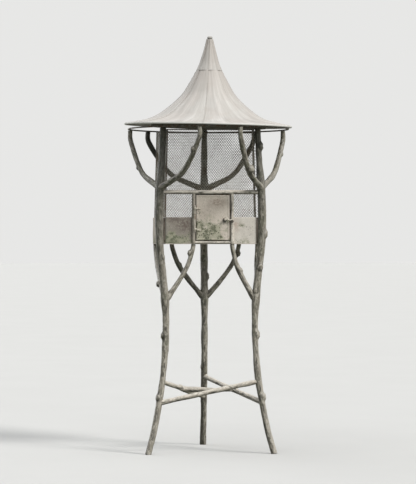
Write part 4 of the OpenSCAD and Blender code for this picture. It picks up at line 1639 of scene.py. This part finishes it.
@dataclass
class Cage:
    """Wire walls, apron sheets, rail and jambs of the cage."""

    finishes: Finishes
    legs: Legs
    front_half_w: float = 0.266
    back_half_w: float = 0.303
    side_apron_out: float = 0.0316
    lean: float = 0.013
    rod_d: float = 0.006
    top_z: float = 1.884
    trunk_share: float = 0.42
    edge_points: int = 12
    fold: float = 0.016
    sheet_t: float = 0.002
    face_points: int = 26
    bend_points: int = 6
    fold_points: int = 4
    grid_step: float = 0.008
    fewest_columns: int = 12
    dent: float = 0.0013
    dent_scale: float = 17.0
    dent_fade: float = 0.03
    fine_dent: float = 0.0007
    fine_dent_scale: float = 47.0
    fine_dent_shift: float = 9.0
    bar_points: int = 40
    bar_bow: float = 0.0012
    bar_bow_turns: float = 9.0
    bar_seed: float = 90.0
    bar_seed_step: float = 3.7
    shade_strip_gap: float = 0.007
    shade_strip_lap: float = 0.006
    rail_bark: Bark = Bark(ridge_depth=0.0007, lump_depth=0.0012, sides=32, spacing=0.005)
    netting: Netting = Netting()
    left_weather: Weather = Weather(
        damp_and_shade=(Stain(0.45, 0.1, 0.8, 0.3, 0.9), Stain(0.2, 0.35, 0.25, 0.2, 0.4)),
        bleed=(Stain(0.78, 0.72, 0.38, 0.34, 1.0), Stain(0.3, 0.95, 0.3, 0.16, 0.75)),
        # Painted shade: dark lines along both side edges, where the sheet meets the parts beside it.
        painted_shade=(Stain(0.0, 0.5, 0.04, 2.0, 0.9), Stain(1.0, 0.5, 0.04, 2.0, 0.5)),
    )
    right_weather: Weather = Weather(
        damp_and_shade=(Stain(0.45, 0.72, 0.24, 0.16, 0.62), Stain(0.6, 0.0, 0.8, 0.16, 0.4)),
        bleed=(Stain(0.08, 0.7, 0.18, 0.25, 0.8),),
        # Painted shade: a dark line along the right edge.
        painted_shade=(Stain(1.0, 0.5, 0.03, 2.0, 0.5),),
    )

    def build(self) -> None:
        """Makes the netting, aprons, rail, jambs and sill, and dresses the floor and rods."""
        self.build_netting()
        self.build_aprons()
        self.build_rails()
        self.build_gap_shades()
        dress_node("cage_floor", self.finishes.side_apron)
        dress_node("cage_rods", self.finishes.iron)

    def rod_edge(self, half_w: float, y: float, heights: Array) -> Array:
        """Points at heights up the right-hand upright edge of a wall, which leans in as it rises."""
        base = ends("back_wire")[0][2]
        return stacked(half_w - self.rod_d - self.lean * (heights - base) / (self.top_z - base), y, heights)

    def trunk_edge(self, y: float, heights: Array) -> Array:
        """Points at heights just inside the right trunk's inner side, where the front netting ends."""
        line = self.legs.trunk_line(Leg.RIGHT)
        return stacked(np.interp(heights, line[:, 2], line[:, 0] - self.trunk_share * line[:, 3]), y, heights)

    def build_netting(self) -> None:
        """Makes the six sheets of netting: the front ones run on past the rods to the trunks."""
        net, coat = self.netting, self.finishes.netting
        front_heights, back_heights, window_heights = (
            np.linspace(*(place[2] for place in ends(node)), self.edge_points)
            for node in ("front_wire", "back_wire", "right_window_wire")
        )
        front_y, back_y = middle("front_wire")[1], middle("back_wire")[1]
        front = self.trunk_edge(front_y, front_heights)
        window = self.trunk_edge(front_y, window_heights)
        back = self.rod_edge(self.back_half_w, back_y, back_heights)
        out = X_WAY * self.rod_d / 2
        near, far = self.rod_edge(self.front_half_w, front_y, back_heights) + out, back + out
        left_jamb = stacked(ends("left_window_wire")[1][0], front_y, window_heights)
        right_jamb = stacked(ends("right_window_wire")[0][0], front_y, window_heights)
        sheets = {
            "front_wire": (front * MIRROR, front, net.wire_d),
            "back_wire": (back * MIRROR, back, net.wire_d),
            "right_wire": (near, far, net.side_wire_d),
            "left_wire": (near * MIRROR, far * MIRROR, net.side_wire_d),
            "left_window_wire": (window * MIRROR, left_jamb, net.wire_d),
            "right_window_wire": (right_jamb, window, net.wire_d),
        }
        for node, sheet in sheets.items():
            make_piece(f"netting_{node}", net.sheet(*sheet), coat, [node], sharp_deg=net.sharp_deg)

    def apron_sheet(self, length: float, height: float, seed: float, weather: Weather) -> Surface:
        """Upright sheet with its top edge folded back round a small bend, gently dented.

        The section runs up the face, round a quarter turn and back along the fold; the same line moved in by
        the thickness closes it. The face moves by noise that fades at the fold.

        Args:
            length: along X.
            height: along Z.
            seed: moves the dents.
            weather: its stains.

        Returns:
            The sheet with its front face on Y = 0, rising from Z = 0.
        """
        bend = 2 * self.sheet_t
        turn = np.linspace(0.0, FULL_TURN / 4, self.bend_points)[1:]
        face = stacked(0.0, np.linspace(0.0, height - bend, self.face_points))
        arc = stacked(bend * (1 - np.cos(turn)), height - bend + bend * np.sin(turn))
        fold = stacked(np.linspace(bend, self.fold, self.fold_points)[1:], height)
        outer = np.vstack([face, arc, fold])
        ahead = unit(np.gradient(outer, axis=0))
        inner = outer + self.sheet_t * np.column_stack([ahead[:, 1], -ahead[:, 0]])
        loop = np.vstack([outer, inner[::-1]])
        columns = max(int(length / self.grid_step), self.fewest_columns)
        along = np.linspace(0.0, length, columns)[:, None]
        level = np.concatenate([outer[:, 1], outer[::-1, 1]])
        place = stacked(along, seed, level)
        fade = np.clip((height - level) / self.dent_fade, 0.0, 1.0)
        dents = self.dent * NOISE.at(place * self.dent_scale) * fade
        dents = dents + self.fine_dent * NOISE.at(place * self.fine_dent_scale + self.fine_dent_shift)
        sections = stacked(along, loop[:, 0] + dents, loop[:, 1])
        return strip_sweep(sections, weather.values(along / length, level / height))

    def build_aprons(self) -> None:
        """Makes the five apron sheets, each along the foot of its wall and folded inwards."""
        finishes = self.finishes
        left_low, left_high = ends("front_left_apron")
        right_low, right_high = ends("front_right_apron")
        side_low, side_high = ends("right_apron")
        back_low, back_high = ends("back_apron")
        foot = np.array([self.front_half_w + self.side_apron_out, side_low[1], side_low[2]])
        way = np.array([side_high[0] - foot[0] - self.sheet_t / 2, side_high[1] - foot[1], 0.0])
        inward = np.cross(UP, unit(way))
        back_foot = np.array([back_high[0], back_high[1], back_low[2]])
        rows = (
            ("front_left_apron", left_low, X_WAY * (left_high - left_low), Y_WAY, 1.0, finishes.left_apron,
             self.left_weather),
            ("front_right_apron", right_low, X_WAY * (right_high - right_low), Y_WAY, 2.0,
             finishes.right_apron, self.right_weather),
            ("right_apron", foot, way, inward, 3.0, finishes.side_apron, Weather()),
            ("left_apron", foot * MIRROR, way * MIRROR, inward * MIRROR, 3.0, finishes.side_apron, Weather()),
            ("back_apron", back_foot, X_WAY * (back_low - back_high), -Y_WAY, 4.0, finishes.side_apron,
             Weather()),
        )
        for node, start, along, depth, seed, finish, weather in rows:
            skin = self.apron_sheet(np.linalg.norm(along), left_high[2] - left_low[2], seed, weather)
            skin.points = start + skin.points @ np.array([unit(along), depth, UP])
            make_piece(f"sheet_{node}", skin.outward(), finish, [node])

    def build_rails(self) -> None:
        """Makes the front rail, the two jambs and the sill as slim bark-coated bars."""
        share = np.linspace(-0.5, 0.5, self.bar_points)[:, None]
        for count, node in enumerate(("front_rail", "left_jamb", "right_jamb", "door_sill")):
            low, high = ends(node)
            size = high - low
            way = np.where(np.arange(3) == np.argmax(size), size, 0.0)
            line = np.column_stack([middle(node) + way * share, np.full(self.bar_points, size[1])])
            line[:, 1] += self.bar_bow * np.sin(self.bar_bow_turns * share[:, 0] + count)
            skin = self.rail_bark.limb(line, Y_WAY, self.bar_seed + self.bar_seed_step * count)
            # The left jamb takes the darker coat, partly as painted shade.
            coat = self.finishes.jamb if node == "left_jamb" else self.finishes.bar
            make_piece(f"bar_{node}", skin, coat, [node])

    def build_gap_shades(self) -> None:
        """Makes the four dark strips behind the gaps round the door: painted shade, dark sheets that keep the
        gaps dark.
        """
        (leaf_left, _, leaf_foot), (leaf_right, leaf_back, leaf_head) = ends("door_leaf")
        depths = leaf_back + self.shade_strip_gap + np.array([0.0, self.sheet_t])
        lap = self.shade_strip_lap
        left, right = ends("left_jamb")[1][0] - lap / 2, ends("right_jamb")[0][0] + lap / 2
        foot, head = ends("door_sill")[1][2] - lap / 2, ends("front_rail")[0][2] + lap / 2
        spans = (
            (left, foot, leaf_left + lap, head),
            (leaf_right - lap, foot, right, head),
            (leaf_left + lap, leaf_head - lap, leaf_right - lap, head),
            (leaf_left + lap, foot, leaf_right - lap, leaf_foot + lap),
        )
        strips = [
            strip_sweep(stacked(np.array([x0, x1, x1, x0]), depths[:, None], np.array([z0, z0, z1, z1])))
            for x0, z0, x1, z1 in spans
        ]
        make_piece("door_gap_shade_strips", joined(strips), self.finishes.iron)


@dataclass
class Door:
    """The hinged sheet door with its hem, hinge rod and eyes, latch and keeper."""

    finishes: Finishes
    hem_w: float = 0.009
    hem_step: float = 0.0024
    hem_t: float = 0.002
    edge_drop: float = 0.0007
    edge_w: float = 0.0016
    edge_marks: tuple[float, ...] = (
        0.0, 0.0006, 0.0016, 0.0035, 0.0055, 0.0072, 0.0082, 0.0092, 0.0102, 0.012, 0.015,
    )
    field_from: float = 0.02
    grid_step: float = 0.005
    dent: float = 0.0009
    dent_scale: float = 15.0
    fine_dent: float = 0.0004
    fine_dent_scale: float = 60.0
    dent_seed: float = 6.0
    rod_d: float = 0.006
    rod_bend_share: float = 1.2
    rod_sunk: float = 0.004
    rod_spacing: float = 0.003
    rod_bend_points: int = 7
    strap_t: float = 0.002
    strap_h: float = 0.010
    curl_deg: Band = (200.0, -110.0)
    curl_points: int = 26
    tail_d: float = 0.0062
    tail_l: float = 0.012
    tail_drops: Band = (0.008, 0.001)
    tail_steps: int = 7
    hook_d: float = 0.0064
    hook_sunk_share: float = 0.6
    knob_rise: float = 0.004
    shadow_disc_d: float = 0.026
    shadow_disc_h: float = 0.0024
    shadow_disc_shift: Triple = (-0.002, 0.0004, -0.001)
    rosette_d: float = 0.017
    rosette_h: float = 0.0022
    seat: float = 0.0004
    disc_sides: int = 24
    knob_steps: int = 5
    knob_sides: int = 20
    hook_steps: int = 8
    pin_points: int = 8
    disc_shares: Shares = ((1.0, 0.0), (1.0, 0.6), (0.94, 0.95), (0.5, 1.0))
    knob_shares: Shares = (
        (0.62, 0.0), (0.55, 0.08), (0.4, 0.3), (0.5, 0.5),
        (0.9, 0.62), (1.1, 0.76), (0.95, 0.9), (0.4, 0.985),
    )
    hook_shares: Shares = (
        (0.05, 0.1), (0.13, 0.34), (0.24, 0.33), (0.33, 0.12),
        (0.5, 0.0), (0.75, 0.01), (0.92, 0.12), (1.0, 0.26),
    )
    weather: Weather = Weather(
        damp_and_shade=(Stain(0.40, 0.10, 0.55, 0.36, 0.98), Stain(0.05, 0.30, 0.08, 0.24, 0.75)),
        bleed=(Stain(0.64, 0.84, 0.22, 0.09, 1.0), Stain(0.3, 0.62, 0.3, 0.2, 0.25)),
        # Painted shade: a dark line down the lower part of the left edge, and along the foot.
        painted_shade=(Stain(0.0, 0.25, 0.04, 0.25, 0.5), Stain(0.5, 0.0, 0.6, 0.02, 0.5)),
    )

    def build(self) -> None:
        """Makes the leaf, the hinge and the latch."""
        self.build_leaf()
        self.build_hinge()
        self.build_latch()

    def build_leaf(self) -> None:
        """Makes the leaf as a front face and a back face over one grid.

        The front is raised by a smooth step round its border, the hem, and both faces move by the same dents.
        """
        low, high = ends("door_leaf")
        size = high - low
        near = np.array(self.edge_marks)
        lines = []
        for span in (size[0], size[2]):
            inner = np.linspace(self.field_from, span - self.field_from, int(span / self.grid_step))
            lines.append(np.concatenate([near, inner, (span - near)[::-1]]))
        x, z = np.meshgrid(*lines, indexing="ij")
        border = np.minimum(np.minimum(x, size[0] - x), np.minimum(z, size[2] - z))
        step = np.clip((border - self.hem_w + self.hem_step / 2) / self.hem_step, 0.0, 1.0)
        hem = self.hem_t * smooth_step(step)
        round_edge = self.edge_drop * np.clip(1 - border / self.edge_w, 0.0, 1.0) ** 2
        place = stacked(x, self.dent_seed, z)
        dents = self.dent * NOISE.at(place * self.dent_scale)
        dents = dents + self.fine_dent * NOISE.at(place * self.fine_dent_scale)
        dents = dents * np.clip(border / self.field_from, 0.0, 1.0)
        front = stacked(low[0] + x, low[1] + hem + round_edge + dents, low[2] + z)
        back = stacked(low[0] + x, high[1] - round_edge + np.minimum(dents, 0.0), low[2] + z)
        sections = np.concatenate([front, back[:, ::-1]], axis=1)
        level = np.concatenate([z, z[:, ::-1]], axis=1) / size[2]
        leaf = strip_sweep(sections, self.weather.values(np.tile(x, 2) / size[0], level))
        make_piece("sheet_door_leaf", leaf, self.finishes.door, ["door_leaf"], Body.DOOR)

    def build_hinge(self) -> None:
        """Makes the hinge rod as one bent bar let into the jamb, and a curled hook round it at each eye."""
        low, high = ends("hinge_rod")
        x, y = low[:2] + self.rod_d / 2
        foot, head = low[2] + self.rod_d / 2, high[2] - self.rod_d / 2
        bend = self.rod_bend_share * self.rod_d
        turn = np.linspace(0.0, FULL_TURN / 4, self.rod_bend_points)
        lower = np.column_stack([y + bend * (1 - np.sin(turn)), foot + bend * (1 - np.cos(turn))])
        lower = np.vstack([[high[1] + self.rod_sunk, foot], lower])
        upper = (lower * (1, -1) + (0, foot + head))[::-1]
        profile = np.vstack([lower, upper])
        path = resample(np.column_stack([np.full(len(profile), x), profile]), self.rod_spacing)
        rod = round_rod(path, self.rod_d, X_WAY)
        make_piece("bent_hinge_rod", rod, self.finishes.bright_iron, ["hinge_rod"])
        eye_low, eye_high = ends("door_hinge_eyes")
        reach = y - eye_low[1] - self.strap_t / 2
        middles = (eye_low[2] + self.strap_h / 2, eye_high[2] - self.strap_h / 2)
        hooks = []
        for height, drop in zip(middles, self.tail_drops):
            hooks += [self.curl(x, y, reach, height), self.tail(x, y - reach, eye_high[0], height, drop)]
        make_piece("curled_hinge_hooks", joined(hooks), self.finishes.bright_iron,
                   ["door_hinge_eyes"], Body.DOOR)

    def curl(self, x: float, y: float, reach: float, height: float) -> Surface:
        """Strap curled round the hinge rod: a flat section along reach (cos a, sin a).

        Args:
            x: the rod's place.
            y: the rod's place.
            reach: from the rod's middle to the strap's.
            height: middle of the strap.

        Returns:
            The closed strap.
        """
        turn = np.radians(np.linspace(*self.curl_deg, self.curl_points))
        line = np.array([x, y]) + reach * np.column_stack([np.cos(turn), np.sin(turn)])
        ahead = unit(np.gradient(line, axis=0))
        half = np.column_stack([-ahead[:, 1], ahead[:, 0]]) * self.strap_t / 2
        corners = ((1.0, -0.5), (1.0, 0.5), (-1.0, 0.5), (-1.0, -0.5))
        edges = [np.column_stack([line + side * half, np.full(len(line), height + self.strap_h * up)])
                 for side, up in corners]
        return strip_sweep(np.stack(edges, axis=1))

    def tail(self, x: float, front: float, end_x: float, height: float, drop: float) -> Surface:
        """Round tail of a hinge hook, through listed places from the curl's front back to the leaf.

        Args:
            x: the hinge rod's place.
            front: the curl's front.
            end_x: where the eye's own plate ends.
            height: the curl's middle.
            drop: how far the tail falls.

        Returns:
            The closed tail.
        """
        leaf_y = ends("door_leaf")[0][1]
        path = np.array([
            (x - 0.001, front, height + 0.001),
            (x + 0.010, front + 0.001, height - 0.2 * drop),
            (end_x - 0.004, front + 0.009, height - 0.7 * drop),
            (end_x + 0.2 * self.tail_l, leaf_y - 0.4 * self.tail_d, height - 0.9 * drop),
            (end_x + self.tail_l, leaf_y - 0.3 * self.tail_d, height - drop),
        ])
        return round_rod(catmull_rom(path, self.tail_steps), self.tail_d, UP)

    def disc(self, place: Array, diameter: float, height: float) -> Surface:
        """Flat round plate that faces the front, with a rounded rim."""
        profile = np.array(self.disc_shares) * (diameter / 2, height)
        return tube(turned(profile, -Y_WAY, X_WAY, self.disc_sides) + place)

    def build_latch(self) -> None:
        """Makes the turned knob over a dark disc that stands in for its shadow (painted shadow), the hook
        bent from it, and the pin that the hook meets.
        """
        low, high = ends("door_latch")
        half = (high[2] - low[2]) / 2
        x, z = low[0] + half, middle("door_latch")[2]
        shares = catmull_rom(np.array(self.knob_shares), self.knob_steps)
        rings = turned(shares * (half, high[1] - low[1]), -Y_WAY, X_WAY, self.knob_sides)
        knob = tube(rings + (x, high[1], z + self.knob_rise))
        rows = np.array(self.hook_shares) * (high[0] - x)
        hook_y = low[1] + self.hook_sunk_share * self.hook_d
        spots = stacked(x + rows[:, 0], hook_y, z + rows[:, 1])
        hook = round_rod(catmull_rom(spots, self.hook_steps), self.hook_d, Y_WAY)
        make_piece("latch_knob_and_hook", joined([knob, hook]), self.finishes.bright_iron,
                   ["door_latch"], Body.DOOR)
        # Painted shadow: a dark disc round the knob's foot, set a little left and lower, stands in for the
        # knob's shadow on the leaf.
        spot = np.array([x, ends("door_leaf")[0][1], z]) + self.shadow_disc_shift
        plate = self.disc(spot, self.shadow_disc_d, self.shadow_disc_h)
        make_piece("latch_shadow_disc", plate, self.finishes.iron, body=Body.DOOR)
        pin_low, pin_high = ends("latch_keeper")
        pin_x, _, pin_z = middle("latch_keeper")
        path = stacked(pin_x, np.linspace(pin_high[1], pin_low[1], self.pin_points), pin_z)
        rod = round_rod(path, pin_high[0] - pin_low[0], X_WAY)
        rosette = self.disc(np.array([pin_x, pin_high[1] + self.seat, pin_z]), self.rosette_d, self.rosette_h)
        make_piece("keeper_pin", joined([rod, rosette]), self.finishes.iron, ["latch_keeper"])


@dataclass(frozen=True)
class Lamp:
    """A broad far lamp: the direction that it shines from, its spread, strength and colour."""

    name: str
    way: Triple
    spread_deg: float
    strength: float
    colour: Colour
    distance: float = 8.0

    def build(self) -> None:
        """Adds the lamp to the scene."""
        data = bpy.data.lights.new(self.name, "SUN")
        data.angle = math.radians(self.spread_deg)
        data.energy = self.strength
        data.color = self.colour
        lamp = bpy.data.objects.new(self.name, data)
        lamp.location = Vector(self.way) * self.distance
        lamp.rotation_euler = (-Vector(self.way)).to_track_quat("-Z", "Y").to_euler()
        bpy.context.scene.collection.objects.link(lamp)


@dataclass
class Studio:
    """Pale floor, soft lamps, and the camera at the photograph's place."""

    image_w: int = 416
    image_h: int = 484
    focal_px: float = 2380.0
    distance: float = 14.0
    azimuth_deg: float = -4.5
    eye_z: float = 1.30
    horizon_px: float = 230.0
    centre_px: float = 208.4
    floor_half: float = 80.0
    sensor: float = 36.0
    floor_low: Colour = (0.54, 0.54, 0.53)
    floor_high: Colour = (0.575, 0.575, 0.565)
    floor_dim: Colour = (0.17, 0.18, 0.15)
    floor_roughness: float = 0.95
    floor_scale: float = 1.3
    world_dim: Colour = (0.085, 0.09, 0.09)
    world_pale: Colour = (0.80, 0.80, 0.79)
    lamps: tuple[Lamp, ...] = (
        Lamp("key", (0.60, -0.50, 0.625), 16.0, 2.6, (1.0, 0.98, 0.95)),
        Lamp("overhead", (-0.2, -0.2, 0.96), 70.0, 1.7, (0.98, 0.99, 1.0)),
        Lamp("fill", (0.0, -0.9, 0.43), 50.0, 0.45, (0.96, 0.98, 1.0)),
        Lamp("back_fill", (-0.62, 0.68, 0.39), 60.0, 1.25, (0.98, 0.99, 1.0)),
    )

    def build(self) -> None:
        """Makes the floor, the lamps, the world and the camera."""
        self.build_floor()
        for lamp in self.lamps:
            lamp.build()
        self.build_world()
        self.build_camera()
        bpy.context.scene.view_settings.view_transform = "Standard"

    def build_floor(self) -> None:
        """Makes the pale floor on which the feet stand; it throws back only a little light."""
        half = self.floor_half
        mesh = bpy.data.meshes.new("pale_floor")
        corners = [(-half, -half, 0), (half, -half, 0), (half, half, 0), (-half, half, 0)]
        mesh.from_pydata(corners, [], [(0, 1, 2, 3)])
        coat = Coat("floor_paint")
        tone = coat.noise(coat.place(), self.floor_scale, detail=3.0)
        pale = coat.mix(tone, self.floor_low, self.floor_high)
        seen = coat.add("ShaderNodeLightPath").outputs["Is Camera Ray"]
        colour = coat.mix(seen, self.floor_dim, pale)
        coat.feed(coat.shader, {"Base Color": colour, "Roughness": self.floor_roughness})
        mesh.materials.append(coat.material)
        floor = bpy.data.objects.new("pale_floor", mesh)
        bpy.context.scene.collection.objects.link(floor)

    def build_world(self) -> None:
        """Makes the world: pale where it is seen or mirrored, and dim as a light."""
        world = bpy.data.worlds.new("studio_world")
        world.use_nodes = True
        sketch = NodeSketch(world.node_tree)
        rays = sketch.add("ShaderNodeLightPath").outputs
        mirrored = sketch.math("MAXIMUM", rays["Is Glossy Ray"], rays["Is Transmission Ray"])
        seen = sketch.math("MAXIMUM", rays["Is Camera Ray"], mirrored)
        background = world.node_tree.nodes["Background"]
        sketch.feed(background, {"Color": sketch.mix(seen, self.world_dim, self.world_pale)})
        bpy.context.scene.world = world

    def build_camera(self) -> None:
        """Sets the camera at the photograph's distance, height and angle."""
        data = bpy.data.cameras.new("photo_camera")
        data.sensor_fit = "VERTICAL"
        data.sensor_height = self.sensor
        data.lens = self.focal_px / self.image_h * self.sensor
        data.shift_x = (self.image_w / 2 - self.centre_px) / self.image_h
        camera = bpy.data.objects.new("photo_camera", data)
        turn = math.radians(self.azimuth_deg)
        camera.location = (self.distance * math.sin(turn), -self.distance * math.cos(turn), self.eye_z)
        drop = math.atan((self.image_h / 2 - self.horizon_px) / self.focal_px)
        camera.rotation_euler = (FULL_TURN / 4 - drop, 0.0, turn)
        bpy.context.scene.collection.objects.link(camera)
        bpy.context.scene.camera = camera


def main() -> None:
    """Builds the studio and the aviary's sub-assemblies in order."""
    logging.basicConfig(level=logging.INFO, format="%(message)s")
    Studio().build()
    finishes = Finishes()
    legs = Legs(finishes)
    for assembly in (legs, Roof(finishes), Cage(finishes, legs), Door(finishes)):
        assembly.build()


if __name__ == "__main__":
    main()
